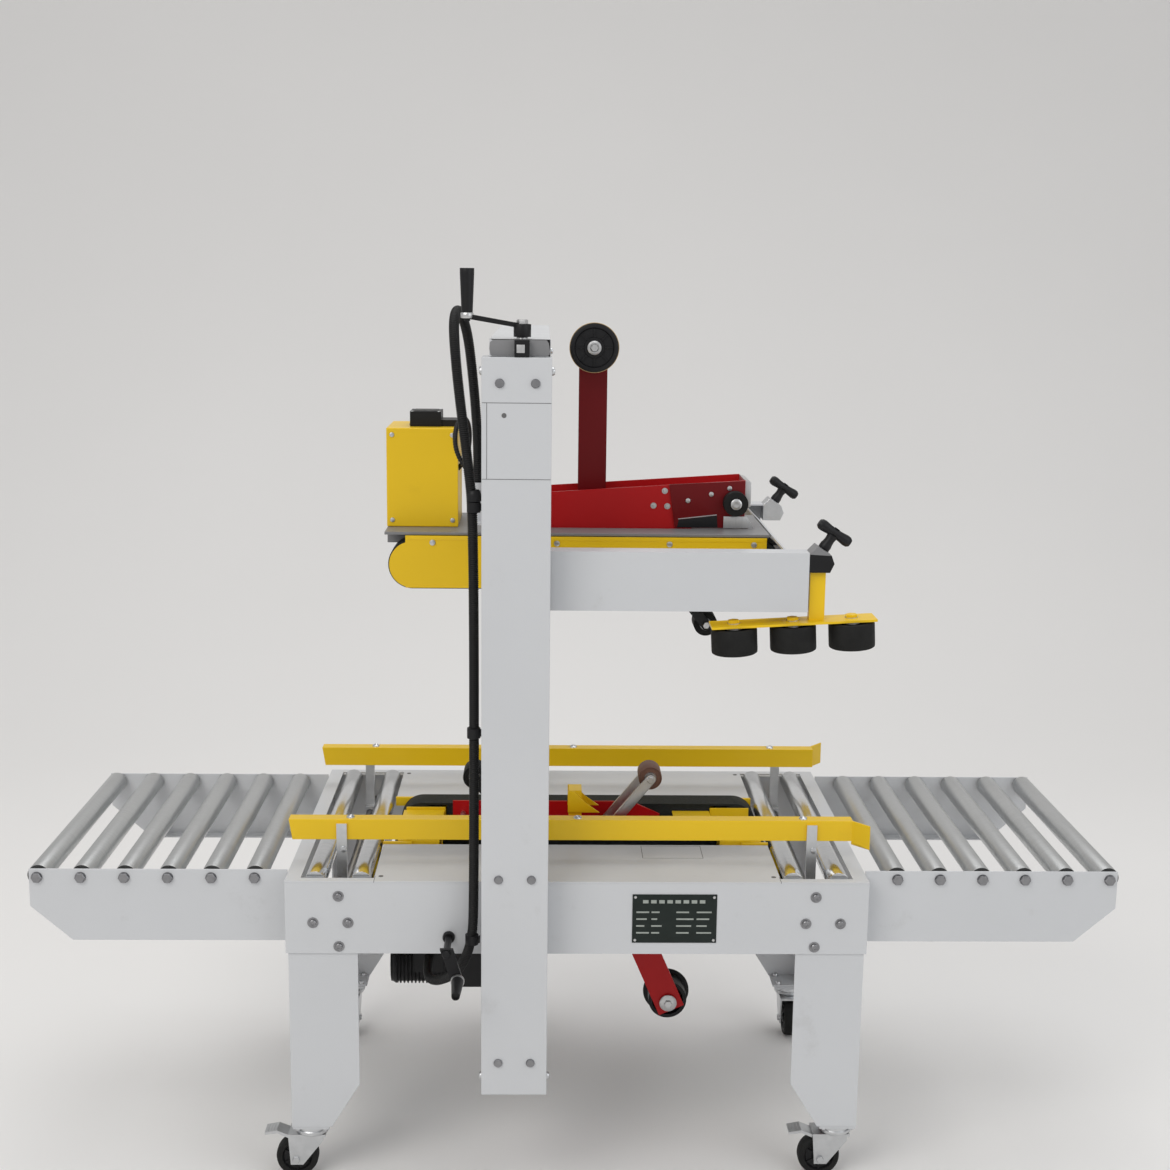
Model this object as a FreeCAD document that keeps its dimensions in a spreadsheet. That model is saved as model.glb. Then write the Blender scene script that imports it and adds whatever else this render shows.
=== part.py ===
import FreeCAD, Part
import math
import os
import re
import Sketcher
from FreeCAD import Placement, Rotation, Vector

# Carton sealer with top and bottom belt drive.
# +X is the infeed end, +Y is the far side, +Z is up and the castors stand on z = 0.
# The origin is on the floor, midway between the side panels and the two ends.

doc = FreeCAD.newDocument("carton_sealer")
sheet = doc.addObject("Spreadsheet::Sheet", "Sizes")

SIZES = {
    # conveyor
    "roller_pitch": 75, "roller_radius": 19, "first_roller": 561, "roller_axis": 551,
    "roller_half": 271, "axle_radius": 5, "axle_bore": 5.06, "ext_half": 280, "ext_end": 950,
    "ext_top": 566, "ext_bottom": 436, "sheet": 3, "deck_roller_in": 374, "deck_roller_out": 454,
    # main frame
    "frame_end": 503, "frame_half": 325, "frame_bottom": 431, "deck_top": 562, "deck_under": 559,
    "leg_width": 120, "leg_foot": 105, "leg_taper": 186, "leg_toe": 70, "leg_fold": 60,
    "carrier_z": 440, "carrier_high": 30,
    # columns and lift
    "column_mid": -108, "column_width": 112, "column_depth": 60, "column_foot": 199,
    "column_top": 1457, "slot_half": 32, "screw_x": -100, "screw_y": 352, "screw_radius": 9,
    "beam_high": 28, "chain_half": 19,
    # lifting head
    "head_low": 1036, "head_high": 1136, "head_front": 379, "head_half": 320, "arm_width": 40,
    "belt_inner": 68, "belt_outer": 123, "belt_radius": 43.5, "belt_thick": 4,
    "belt_left": -295.5, "belt_right": 321, "low_belt_right": 312.5, "head_belt_z": 1078,
    "low_belt_z": 530.5,
    "cover_skin": 3, "cover_left": -308, "cover_right": 333,
    # tape heads
    "tape_half": 52, "tape_plate": 4, "tape_wheel": 22, "tape_wheel_half": 25,
    "hub_radius": 45, "drum_radius": 37, "upper_hub_x": 25, "upper_hub_z": 1458,
    "lower_hub_x": 183, "lower_hub_z": 206,
    # press rollers
    "press_y": -300, "press_radius": 39, "press_high": 45, "press_pitch": 99.5,
    # guide rails
    "rail_half": 507, "rail_low": 606, "rail_high": 643, "rail_outer": 237, "rail_deep": 26,
    "post_x": 414, "rail_screw_z": 500, "rail_screw_radius": 8,
    # castors
    "castor_x": 466, "castor_y": 292, "wheel_radius": 37.5, "wheel_half": 14, "trail": 28,
    # conduit
    "conduit_radius": 8.5,
}

for row, (alias, value) in enumerate(SIZES.items(), start=1):
    sheet.set(f"A{row}", alias.replace("_", " "))
    sheet.set(f"B{row}", str(value))
    sheet.setAlias(f"B{row}", alias)
doc.recompute()

S = {alias: float(sheet.get(alias)) for alias in SIZES}
NODES = []
WORDS = re.compile(r"\b(" + "|".join(sorted(SIZES, key=len, reverse=True)) + r")\b")


def bind(item, prop, rule):
    """Drive one property by a rule written with the sheet's names, or set a plain number."""
    if isinstance(rule, str):
        item.setExpression(prop, WORDS.sub(r"Sizes.\1", rule))
    else:
        item.setExpression(prop, str(rule))


def put(item, x=0, y=0, z=0):
    for axis, rule in zip("xyz", (x, y, z)):
        bind(item, "Placement.Base." + axis, rule)
    return item


def less(high, low):
    return f"({high}) - ({low})"


def box(name, x0, x1, y0, y1, z0, z1):
    item = doc.addObject("Part::Box", name)
    bind(item, "Length", less(x1, x0))
    bind(item, "Width", less(y1, y0))
    bind(item, "Height", less(z1, z0))
    return put(item, x0, y0, z0)


AIM = {
    "x": Rotation(Vector(0, 1, 0), 90),
    "y": Rotation(Vector(1, 0, 0), -90),
    "z": Rotation(),
}


def rod(name, axis, x, y, z, radius, length):
    item = doc.addObject("Part::Cylinder", name)
    bind(item, "Radius", radius)
    bind(item, "Height", length)
    item.Placement = Placement(Vector(), AIM[axis])
    return put(item, x, y, z)


def join(name, *items):
    item = doc.addObject("Part::MultiFuse", name)
    item.Shapes = list(items)
    item.Refine = True
    return item


def cut(name, base, *tools):
    for number, tool in enumerate(tools, start=1):
        item = doc.addObject("Part::Cut", name if number == len(tools) else f"{name}_{number}")
        item.Base = base
        item.Tool = tool
        base = item
    return base


def group(name, *items):
    item = doc.addObject("Part::Compound", name)
    item.Links = list(items)
    return item


def mirror(name, source, normal):
    item = doc.addObject("Part::Mirroring", name)
    item.Source = source
    item.Normal = normal
    return item


def both_sides(name, *items):
    """The pieces and their mirror images across the machine's long centre plane."""
    pieces = list(items)
    pieces += [mirror(f"{name}_m{number}", item, Vector(0, 1, 0)) for number, item in enumerate(items)]
    return group(name, *pieces)


def node(item, label):
    item.Label = label
    NODES.append(item)
    return item


def origin_plane(body, role):
    return next(feature for feature in body.Origin.OriginFeatures if feature.Role == role)


def outline(body, name, role, corners, lift=0):
    """A closed sketch whose corners are dimensioned from the origin by sheet rules."""
    sketch = body.newObject("Sketcher::SketchObject", name)
    sketch.AttachmentSupport = [(origin_plane(body, role), "")]
    sketch.MapMode = "FlatFace"
    bind(sketch, "AttachmentOffset.Base.z", lift)
    count = len(corners)
    for number in range(count):
        first = Vector(10 * number, number * number, 0)
        second = Vector(10 * (number + 1), (number + 1) ** 2, 0)
        sketch.addGeometry(Part.LineSegment(first, second))
    for number in range(count):
        sketch.addConstraint(Sketcher.Constraint("Coincident", number - 1 if number else count - 1, 2,
            number, 1))
    for number, corner in enumerate(corners):
        for axis, kind, rule in zip("xy", ("DistanceX", "DistanceY"), corner):
            value = rule_value(rule)
            index = sketch.addConstraint(Sketcher.Constraint(kind, -1, 1, number, 1, value))
            label = f"{axis}{number}"
            sketch.renameConstraint(index, label)
            if isinstance(rule, str):
                bind(sketch, "Constraints." + label, rule)
    return sketch


def rule_value(rule):
    """The value of a sum, difference, product or quotient of the sheet's sizes."""
    if not isinstance(rule, str):
        return float(rule)
    total = doc.addObject("App::FeaturePython", "Rule")
    total.addProperty("App::PropertyFloat", "Value")
    bind(total, "Value", rule)
    total.recompute()
    value = float(total.Value)
    doc.removeObject(total.Name)
    return value


def plate(name, role, corners, start, length):
    """A sheet or bar whose outline is padded along the normal of an origin plane."""
    body = doc.addObject("PartDesign::Body", name)
    backward = role == "XZ_Plane"
    lift = f"-({start})" if backward else start
    sketch = outline(body, name + "_outline", role, corners, lift)
    pad = body.newObject("PartDesign::Pad", name + "_pad")
    pad.Profile = sketch
    bind(pad, "Length", length)
    pad.Reversed = backward
    body.Tip = pad
    return body


def turned(name, axis, corners):
    """A turned piece: the outline gives radius first, then the place along the axis."""
    body = doc.addObject("PartDesign::Body", name)
    role = {"y": "XY_Plane", "z": "XZ_Plane"}[axis]
    sketch = outline(body, name + "_outline", role, corners)
    revolve = body.newObject("PartDesign::Revolution", name + "_turn")
    revolve.Profile = sketch
    revolve.ReferenceAxis = (sketch, ["V_Axis"])
    revolve.Angle = 360
    body.Tip = revolve
    return body


def stadium(name, right_end, z, radius, y0, y1):
    """A bar with two round ends, centred on the belt pulleys."""
    width = less(y1, y0)
    low, high = f"({z}) - ({radius})", f"({z}) + ({radius})"
    middle = box(name + "_mid", "belt_left", right_end, y0, y1, low, high)
    left = rod(name + "_left", "y", "belt_left", y0, z, radius, width)
    right = rod(name + "_right", "y", right_end, y0, z, radius, width)
    return join(name, middle, left, right)


# Main frame: two folded side panels and two end channels welded to a pair of cross carriers.
panel = plate("side_panel", "YZ_Plane", [
    ("-frame_half", "frame_bottom"), ("-frame_half", "deck_under"), ("-frame_half + 22", "deck_under"),
    ("-frame_half + 22", "deck_under - sheet"), ("-frame_half + sheet", "deck_under - sheet"),
    ("-frame_half + sheet", "frame_bottom"),
], "-frame_end", "2 * frame_end")
lip = box("panel_lip", -376, 376, "-frame_half + sheet", "-frame_half + 28", "frame_bottom",
    "frame_bottom + sheet")
far_panel = mirror("far_panel", panel, Vector(0, 1, 0))
far_lip = mirror("far_lip", lip, Vector(0, 1, 0))
end_web = box("end_web", "frame_end - sheet", "frame_end", "-frame_half + sheet", "frame_half - sheet",
              "frame_bottom", "deck_under")
far_web = mirror("far_web", end_web, Vector(1, 0, 0))
carriers = [
    box(f"carrier_{side}", x, f"({x}) + 20", "-frame_half + sheet", "frame_half - sheet",
        "carrier_z", "carrier_z + carrier_high")
    for side, x in (("left", -262), ("right", 250))
]
node(join("base_frame_weld", panel, far_panel, lip, far_lip, end_web, far_web, *carriers), "base_frame")

# Deck: one flat sheet with a slot for each roller pair and one for the belts and tape head.
deck_sheet = box("deck_sheet", "-frame_end", "frame_end", "-frame_half", "frame_half", "deck_under",
    "deck_top")
slots = [
    box("slot_centre", -352, 352, -136, 136, 550, 570),
    box("slot_left", -477, -351, -308, 308, 550, 570),
    box("slot_right", 351, 477, -308, 308, 550, 570),
]
node(cut("deck_cut", deck_sheet, *slots), "deck_plate")

# Legs: folded plates with a tapered toe, a welded foot and the castor's own top plate.
leg_web = plate("leg_web", "XZ_Plane", [
    ("frame_end - 4 - leg_width", "deck_under - sheet - 1"), ("frame_end - 4", "deck_under - sheet - 1"),
    ("frame_end - 4", "leg_foot"), ("frame_end - 4 - leg_toe", "leg_foot"),
    ("frame_end - 4 - leg_width", "leg_taper"),
], "-frame_half + sheet", "sheet")
leg_side = box("leg_side", "frame_end - 7", "frame_end - 4", "-frame_half + sheet",
"-frame_half + leg_fold",
               "leg_foot", "frame_bottom - sheet")
leg_sole = box("leg_sole", "frame_end - 4 - leg_toe", "frame_end - 4", "-frame_half + sheet",
               "-frame_half + leg_fold", "leg_foot", "leg_foot + 4")
leg = join("leg", leg_web, leg_side, leg_sole)
castor_plate = box("castor_plate", "castor_x - 32", "castor_x + 32", "-castor_y - 28", "-castor_y + 28",
                   "leg_foot - 6", "leg_foot")
leg_left = mirror("leg_left", leg, Vector(1, 0, 0))
castor_plate_left = mirror("castor_plate_left", castor_plate, Vector(1, 0, 0))
node(both_sides("legs_all", leg, leg_left, castor_plate, castor_plate_left), "legs")

# Columns: lipped channels open to the inside, with a top plate and a rest for the lift screw.
west, east = "column_mid - column_width / 2", "column_mid + column_width / 2"
outer_face = "-frame_half - column_depth"
column_skin = plate("column_skin", "XY_Plane", [
    (west, outer_face), (east, outer_face), (east, "-frame_half"),
    ("column_mid + slot_half", "-frame_half"),
    ("column_mid + slot_half", "-frame_half - sheet"), (f"{east} - sheet", "-frame_half - sheet"),
    (f"{east} - sheet", f"{outer_face} + sheet"), (f"{west} + sheet", f"{outer_face} + sheet"),
    (f"{west} + sheet", "-frame_half - sheet"), ("column_mid - slot_half", "-frame_half - sheet"),
    ("column_mid - slot_half", "-frame_half"), (west, "-frame_half"),
], "column_foot", "column_top - column_foot")
inside = (f"{west} + sheet", f"{east} - sheet", f"{outer_face} + sheet", "-frame_half - sheet")
column_cap = box("column_cap", *inside, "column_top - sheet", "column_top")
cap_hole = rod("cap_hole", "z", "screw_x", "-screw_y", "column_top - 10", "screw_radius + 1", 20)
screw_rest = box("screw_rest", *inside, 600, 606)
foot_cap = box("foot_cap", *inside, "column_foot", "column_foot + sheet")
column = join("column", column_skin, cut("column_cap_cut", column_cap, cap_hole), screw_rest, foot_cap)
node(both_sides("columns_both", column), "columns")

# Cross beam: a hollow cover over the chain that keeps both lift screws in step.
beam_x = ("column_mid - 44", "column_mid + 53")
beam_z = ("column_top + 0.5", "column_top + beam_high")
beam_out = box("beam_out", *beam_x, -372, 372, *beam_z)
beam_in = box("beam_in", "column_mid - 42", "column_mid + 51", -370, 370, "column_top + 2.5",
    "column_top + 26")
beam_holes = [
    rod(f"beam_hole_{side}", "z", "screw_x", y, "column_top - 5", "screw_radius + 1", 40)
    for side, y in (("front", "-screw_y"), ("rear", "screw_y"))
]
beam = cut("beam", beam_out, beam_in, *beam_holes)
end_block = box("end_block", "screw_x - 12", "screw_x + 12", -386, -372, "column_top + 1",
    "column_top + 27")
chain_z = ("column_top + 11", "column_top + 17")
chain_out = box("chain_out", "screw_x - chain_half - 2", "screw_x + chain_half + 2", -369.8, 369.8,
    *chain_z)
chain_in = box("chain_in", "screw_x - chain_half", "screw_x + chain_half", -367.8, 367.8, "column_top",
    "column_top + 30")
node(group("crossbeam", beam, end_block, cut("chain", chain_out, chain_in)), "top_crossbeam")

# Extension tables: a folded side plate on each side, its lower outer corner cut away.
ext_plate = plate("ext_plate", "XZ_Plane", [
    ("frame_end + 1", "ext_bottom"), ("frame_end + 1", "ext_top"), ("ext_end", "ext_top"),
    ("ext_end", "ext_top - 68"), ("ext_end - 71", "ext_bottom"),
], "-ext_half", "sheet")
ext_lip = box("ext_lip", "frame_end + 1", "ext_end - 75", "-ext_half + sheet", "-ext_half + 25",
              "ext_bottom", "ext_bottom + sheet")
ext_side = join("ext_side", ext_plate, ext_lip)
ext_side_left = mirror("ext_side_left", ext_side, Vector(1, 0, 0))
node(both_sides("ext_sides", ext_side, ext_side_left), "extension_side_plates")

# Roller axles with their end bolts, the tie bars of the extension tables and the frame bolts.
steel = []
for side, sign in (("in", 1), ("out", -1)):
    for number in range(6):
        x = f"{sign} * (first_roller + {number} * roller_pitch)"
        shaft = rod(f"axle_{side}_{number}", "y", x, "-ext_half + sheet", "roller_axis", "axle_radius",
                    "2 * (ext_half - sheet)")
        near = rod(f"bolt_n_{side}_{number}", "y", x, "-ext_half - 5", "roller_axis", 8, 5)
        far = rod(f"bolt_f_{side}_{number}", "y", x, "ext_half", "roller_axis", 8, 5)
        steel += [shaft, near, far]
    for place in ("deck_roller_in", "deck_roller_out"):
        steel.append(rod(f"axle_{side}_{place}", "y", f"{sign} * {place}", "-frame_half + 2 * sheet",
        "roller_axis",
                         "axle_radius", "2 * (frame_half - 2 * sheet)"))
    for number, x in enumerate((600, 850)):
        steel.append(rod(f"tie_{side}_{number}", "y", sign * x, "-ext_half + sheet", 470, 8,
                         "2 * (ext_half - sheet)"))
for sign in (-1, 1):
    for number, (x, z) in enumerate(((411, 535), (455, 487), (395, 487), (411, 444))):
        steel.append(rod(f"leg_bolt_{sign}_{number}", "y", sign * x, "-frame_half - 4", z, 6, 4))
        steel.append(rod(f"leg_bolt_far_{sign}_{number}", "y", sign * x, "frame_half", z, 6, 4))
for number, (x, z) in enumerate(((-135, 258), (-80, 258), (-135, 588), (-80, 588), (-135, 1416),
                                 (-78, 1416))):
    steel.append(rod(f"column_bolt_{number}", "y", x, f"{outer_face} - 4", z, 6, 4))
    steel.append(rod(f"column_bolt_far_{number}", "y", x, "frame_half + column_depth", z, 6, 4))
node(group("steelwork", *steel), "axles_and_bolts")


def roller(name, x, half):
    """A steel tube closed by two bearing caps, bored to run on its axle."""
    body = turned(name, "y", [
        ("axle_bore", f"-({half})"), ("roller_radius", f"-({half})"), ("roller_radius", half),
        ("axle_bore", half),
        ("axle_bore", f"{half} - 12"), ("roller_radius - 2", f"{half} - 12"),
        ("roller_radius - 2", f"-({half}) + 12"), ("axle_bore", f"-({half}) + 12"),
    ])
    return put(body, x, 0, "roller_axis")


for table, sign in (("infeed", 1), ("outfeed", -1)):
    for number in range(6):
        x = f"{sign} * (first_roller + {number} * roller_pitch)"
        node(roller(f"{table}_roller_{number + 1}_body", x, "roller_half"), f"{table}_roller_{number + 1}")
deck_rollers = [
    roller(f"deck_roller_{number}", f"{sign} * {place}", "roller_half + 29")
    for number, (sign, place) in enumerate((s, p) for s in (-1, 1) for p in ("deck_roller_in",
    "deck_roller_out"))
]
node(group("deck_roller_set", *deck_rollers), "deck_rollers")


def belt_and_pulleys(name, right_end, z):
    """One flat belt round a pair of pulleys, with the slide bed between them."""
    ring = cut(f"{name}_ring", stadium(f"{name}_out", right_end, z, "belt_radius", "belt_inner",
    "belt_outer"),
               stadium(f"{name}_in", right_end, z, "belt_radius - belt_thick", "belt_inner - 1",
                   "belt_outer + 1"))
    pulleys = [
        rod(f"{name}_pulley_{side}", "y", x, "belt_inner", z, "belt_radius - belt_thick - 0.2",
            "belt_outer - belt_inner")
        for side, x in (("left", "belt_left"), ("right", right_end))
    ]
    reach = "belt_radius - belt_thick - 0.4"
    bed = box(f"{name}_bed", "belt_left + 48", f"{right_end} - 48", "belt_inner", "belt_outer",
              f"{z} - ({reach})", f"{z} + ({reach})")
    hollow = box(f"{name}_hollow", "belt_left + 47", f"{right_end} - 47", "belt_inner + 2",
    "belt_outer + 1",
                 f"{z} - ({reach}) + 3", f"{z} + ({reach}) - 3")
    return [ring, *pulleys, cut(f"{name}_bed_cut", bed, hollow)]


# Bottom drive: two belts proud of the deck, yellow end guards and the geared motor below.
node(both_sides("low_belts", *belt_and_pulleys("low", "low_belt_right", "low_belt_z")), "lower_belts")
guards = [
    box(f"guard_{side}_{face}", x, f"({x}) + 76", y, f"({y}) + 3", "low_belt_z - 40", "low_belt_z + 36")
    for side, x in (("left", -326), ("right", 264))
    for face, y in (("inner", "belt_inner - 3.5"), ("outer", "belt_outer + 0.5"))
]
node(both_sides("low_guards", *guards), "lower_belt_covers")
motor = rod("low_motor", "x", -350, 0, 285, 45, 120)
gearbox = box("low_gearbox", -230, -165, -48, 48, 245, 340)
hanger = box("low_hanger", -262, -240, -30, 30, 320, "carrier_z")
terminal_box = box("low_terminal", -300, -245, -104, -40, 300, 355)
node(join("low_drive", motor, gearbox, hanger, terminal_box), "lower_gearmotor")


def tape_plates(name, corners, window):
    """The two side plates of a tape head with their spacer rods."""
    skin = plate(f"{name}_skin", "XZ_Plane", corners, "-tape_half", "tape_plate")
    opening = plate(f"{name}_window", "XZ_Plane", window, "-tape_half - 1", "tape_plate + 2")
    return cut(f"{name}_side", skin, opening)


def spacers(name, places):
    return [
        rod(f"{name}_spacer_{number}", "y", x, "-tape_half + tape_plate", z, 5,
            "2 * (tape_half - tape_plate)")
        for number, (x, z) in enumerate(places)
    ]


# Upper tape head: red side plates through the deck of the lifting head, the tall tape post
# and the guide roller at its front corner.
upper_side = tape_plates("upper", [
    (-115, 1012), (205, 1012), (205, 1137), (289, 1137), (301, 1160), (301, 1224), (-115, 1196),
], [(192, 1142), (262, 1142), (262, 1163), (192, 1158)])
post = plate("tape_post", "XZ_Plane", [
    (-1, 1140), (51, 1140), (51, 1478), (42, 1490), (8, 1490), (-1, 1478),
], 24, 6)
post_foot = box("post_foot", -1, 51, 24, 48, 1140, 1146)
spindle = rod("upper_spindle", "y", "upper_hub_x", -34, "upper_hub_z", 8, 58)
upper_guide = rod("upper_guide", "y", 282, -80, 1184, 22, 28)
upper_cutter = box("upper_cutter", 85, 109, -20, 20, 985, 1030)
upper_rods = spacers("upper", ((-95, 1170), (90, 1120), (230, 1190), (90, 1035)))
node(group("upper_tape", upper_side, mirror("upper_side_far", upper_side, Vector(0, 1, 0)),
           join("post_weld", post, post_foot, spindle), upper_guide, upper_cutter, *upper_rods),
     "upper_tape_head")

# Lower tape head: the same head upside down, its tape arm hanging below the frame.
lower_side = tape_plates("lower", [
    (-235, 412), (165, 412), (165, 560), (110, 585), (-235, 585),
], [(-200, 440), (60, 440), (60, 470), (-200, 470)])
tape_arm = plate("tape_arm", "XZ_Plane", [
    (166.5, 179), (214, 200), (107, 447.5), (59, 426.5),
], -30, 6)
arm_foot = box("arm_foot", 60, 106, -48, -24, 414, 436)
lower_spindle = rod("lower_spindle", "y", "lower_hub_x", -24, "lower_hub_z", 8, 58)
spindle_head = rod("spindle_head", "y", "lower_hub_x", -36, "lower_hub_z", 11, 6)
lower_cutter = box("lower_cutter", -12, 12, -20, 20, 560, 628)
lower_rods = spacers("lower", ((-215, 430), (-215, 560), (0, 570), (-20, 425)))
node(group("lower_tape", lower_side, mirror("lower_side_far", lower_side, Vector(0, 1, 0)),
           join("arm_weld", tape_arm, arm_foot, lower_spindle, spindle_head), lower_cutter, *lower_rods),
     "lower_tape_head")


def tape_hub(name, x, z, face, back):
    """A tape core drum with one wide flange, running on the spindle."""
    drum = rod(f"{name}_drum", "y", x, min(face, back), z, "drum_radius", abs(back - face))
    flange = rod(f"{name}_flange", "y", x, face if face < back else face - 4, z, "hub_radius", 4)
    bore = rod(f"{name}_bore", "y", x, -60, z, 8.06, 120)
    return cut(name, join(f"{name}_body", drum, flange), bore)


node(tape_hub("hub_up", "upper_hub_x", "upper_hub_z", -28, 20), "upper_tape_hub")
node(tape_hub("hub_low", "lower_hub_x", "lower_hub_z", 28, -20), "lower_tape_hub")


def sprung_arm(name, pivot, wheel):
    """Two flat links from a cross pin to a rubber-covered roller."""
    run = (wheel[0] - pivot[0], wheel[1] - pivot[1])
    length = math.hypot(*run)
    side = (-run[1] / length * 9, run[0] / length * 9)
    corners = [
        (pivot[0] + side[0], pivot[1] + side[1]), (pivot[0] - side[0], pivot[1] - side[1]),
        (wheel[0] - side[0], wheel[1] - side[1]), (wheel[0] + side[0], wheel[1] + side[1]),
    ]
    link = plate(f"{name}_link", "XZ_Plane", corners, -34, 5)
    far_link = mirror(f"{name}_link_far", link, Vector(0, 1, 0))
    pin = rod(f"{name}_pin", "y", pivot[0], -46, pivot[1], 7, 92)
    wheel_pin = rod(f"{name}_wheel_pin", "y", wheel[0], -36, wheel[1], 5, 72)
    arm = join(f"{name}_arm", link, far_link, pin, wheel_pin)
    tread = rod(f"{name}_tread", "y", wheel[0], "-tape_wheel_half", wheel[1], "tape_wheel",
        "2 * tape_wheel_half")
    bore = rod(f"{name}_bore", "y", wheel[0], -40, wheel[1], 5.06, 80)
    return group(name, arm, cut(f"{name}_roller", tread, bore))


node(sprung_arm("arm_uf", (150, 1060), (238, 952)), "upper_front_arm")
node(sprung_arm("arm_ur", (-5, 1060), (-93, 952)), "upper_rear_arm")
node(sprung_arm("arm_lf", (53, 546), (141, 654)), "lower_front_arm")
node(sprung_arm("arm_lr", (-102, 546), (-190, 654)), "lower_rear_arm")

# Lifting head: two side beams on the column carriages, a rear tie and a sloped front plate.
side_beam = plate("side_beam", "YZ_Plane", [
    ("-head_half", "head_low"), ("-head_half", "head_high"), ("-head_half + arm_width", "head_high"),
    ("-head_half + arm_width", "head_high - sheet"), ("-head_half + sheet", "head_high - sheet"),
    ("-head_half + sheet", "head_low + sheet"), ("-head_half + arm_width", "head_low + sheet"),
    ("-head_half + arm_width", "head_low"),
], f"{west} + 4", f"head_front - ({west}) - 4")
far_beam = mirror("far_beam", side_beam, Vector(0, 1, 0))
front_plate = plate("front_plate", "XZ_Plane", [
    ("head_front", "head_low"), ("head_front", "head_high - 38"), ("head_front - 38", "head_high"),
    ("head_front - 38", "head_high - 4.2"), ("head_front - 3", "head_high - 39.2"),
    ("head_front - 3", "head_low"),
], "-head_half", "2 * head_half")
rear_tie = box("rear_tie", -164, -126, "-head_half", "head_half", "head_high", "head_high + 34")
carriage = box("carriage", -148, -68, -376, "-frame_half - sheet - 0.6", 1040, 1132)
neck = box("neck", -134, -82, "-frame_half - sheet - 0.6", "-head_half", 1044, 1128)
nut_bore = rod("nut_bore", "z", "screw_x", "-screw_y", 1030, "screw_radius + 0.06", 110)
carriage_cut = cut("carriage_cut", join("carriage_weld", carriage, neck), nut_bore)
far_carriage = mirror("far_carriage", carriage_cut, Vector(0, 1, 0))
tab = box("conduit_tab", -192, -150, -262, -222, "head_high + 34", "head_high + 38")
tab_riser = box("conduit_riser", -192, -158, -226, -222, "head_high + 34", 1236)
gland = rod("gland", "z", -175, -238, 1228, 13, 12)
gland_shelf = box("gland_shelf", -188, -162, -238, -222, 1228, 1236)
tab_all = join("tab_weld", tab, tab_riser, gland, gland_shelf)
head = join("head_weld", side_beam, far_beam, front_plate, rear_tie, carriage_cut, far_carriage, tab_all)
TILT = 33.5


def clamp(name, y):
    """A block on the end of a side beam with a square socket for a roller post."""
    block = plate(f"{name}_block", "XZ_Plane", [
        (379, 1103), (414, 1103), (421, 1118), (415.7, 1132.3), (392.3, 1147.7), (379, 1134),
    ], y - 20, 40)
    socket = box(f"{name}_socket", 382.7, 409.3, y - 8.3, y + 8.3, 1100, 1134)
    return cut(name, block, socket)


node(head, "head_frame")

# Head deck: a flat plate with a slot for the tape head and two hanging belt frames.
deck_top = box("head_deck_top", -345, 338, -124, 124, "head_high - 5", "head_high")
head_slot = box("head_slot", -122, 308, -58, 58, 1120, 1140)
belt_frame = plate("belt_frame", "XZ_Plane", [
    (-345, 1108), (-345, 1131), (338, 1131), (361, 1108), (315, 1108), (315, 1042), (-290, 1042),
    (-290, 1108),
], "belt_inner - 4", 3)
head_deck = join("head_deck_weld", cut("head_deck_cut", deck_top, head_slot), belt_frame,
                 mirror("belt_frame_near", belt_frame, Vector(0, 1, 0)))
node(group("head_deck_all", head_deck, clamp("front_clamp", -300), clamp("rear_clamp", 300)), "head_deck")
node(both_sides("high_belts", *belt_and_pulleys("high", "belt_right", "head_belt_z")), "head_belts")
cover_flat = box("cover_flat", "cover_left", "cover_right", "belt_outer + 1",
    "belt_outer + 1 + cover_skin", 1036.5, 1130)
cover_round = rod("cover_round", "y", "belt_left", "belt_outer + 1", "head_belt_z", "belt_radius - 2",
    "cover_skin")
node(both_sides("belt_guards", join("cover", cover_flat, cover_round)), "head_belt_covers")

# Head drive: a geared motor under a yellow folded cover with its switch box on top.
shell_out = box("shell_out", -346, -218, -62, 80, "head_high + 0.5", 1314)
shell_in = box("shell_in", -344, -220, -60, 78, "head_high", 1312)
node(cut("shell", shell_out, shell_in), "motor_cover")
head_motor = rod("head_motor", "z", -282, 8, "head_high + 62", 44, 100)
head_gearbox = box("head_gearbox", -330, -234, -42, 58, "head_high", "head_high + 62")
switch_box = box("switch_box", -306, -250, -30, 34, 1314, 1341)
switch_lid = box("switch_lid", -250, -222, -26, 30, 1314, 1326)
node(group("head_drive", join("head_motor_weld", head_motor, head_gearbox),
join("switch", switch_box, switch_lid)),
     "head_gearmotor")

# Lift screws with their chain wheels, and the crank on the front one.
for side, sign, top in (("front", -1, "column_top + 42"), ("rear", 1, "column_top + 27")):
    at = f"{sign} * screw_y"
    stem = rod(f"screw_{side}", "z", "screw_x", at, 607, "screw_radius", f"{top} - 607")
    wheel = rod(f"chain_wheel_{side}", "z", "screw_x", at, "column_top + 11.5", "chain_half - 4", 5)
    node(join(f"screw_{side}_all", stem, wheel), f"leadscrew_{side}")
crank_arm = plate("crank_arm", "XZ_Plane", [(-86, 1499), (-190, 1516), (-190, 1524), (-114, 1511),
    (-86, 1508)], -358, 12)
crank_hub = rod("crank_hub", "z", "screw_x", "-screw_y", 1488, 14, 20)
grip_pin = rod("grip_pin", "z", -188, "-screw_y", 1512, 5, 82)
crank_metal = cut("crank_cut", join("crank_weld", crank_arm, crank_hub, grip_pin),
                  rod("crank_bore", "z", "screw_x", "-screw_y", 1480, "screw_radius", 19.3))
crank_grip = put(turned("crank_grip", "z", [(5.06, 0), (9, 0), (11.5, 62), (11.5, 70), (5.06, 70)]),
                 -188, "-screw_y", 1525)
node(group("crank", crank_metal, crank_grip), "top_crank")

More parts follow.
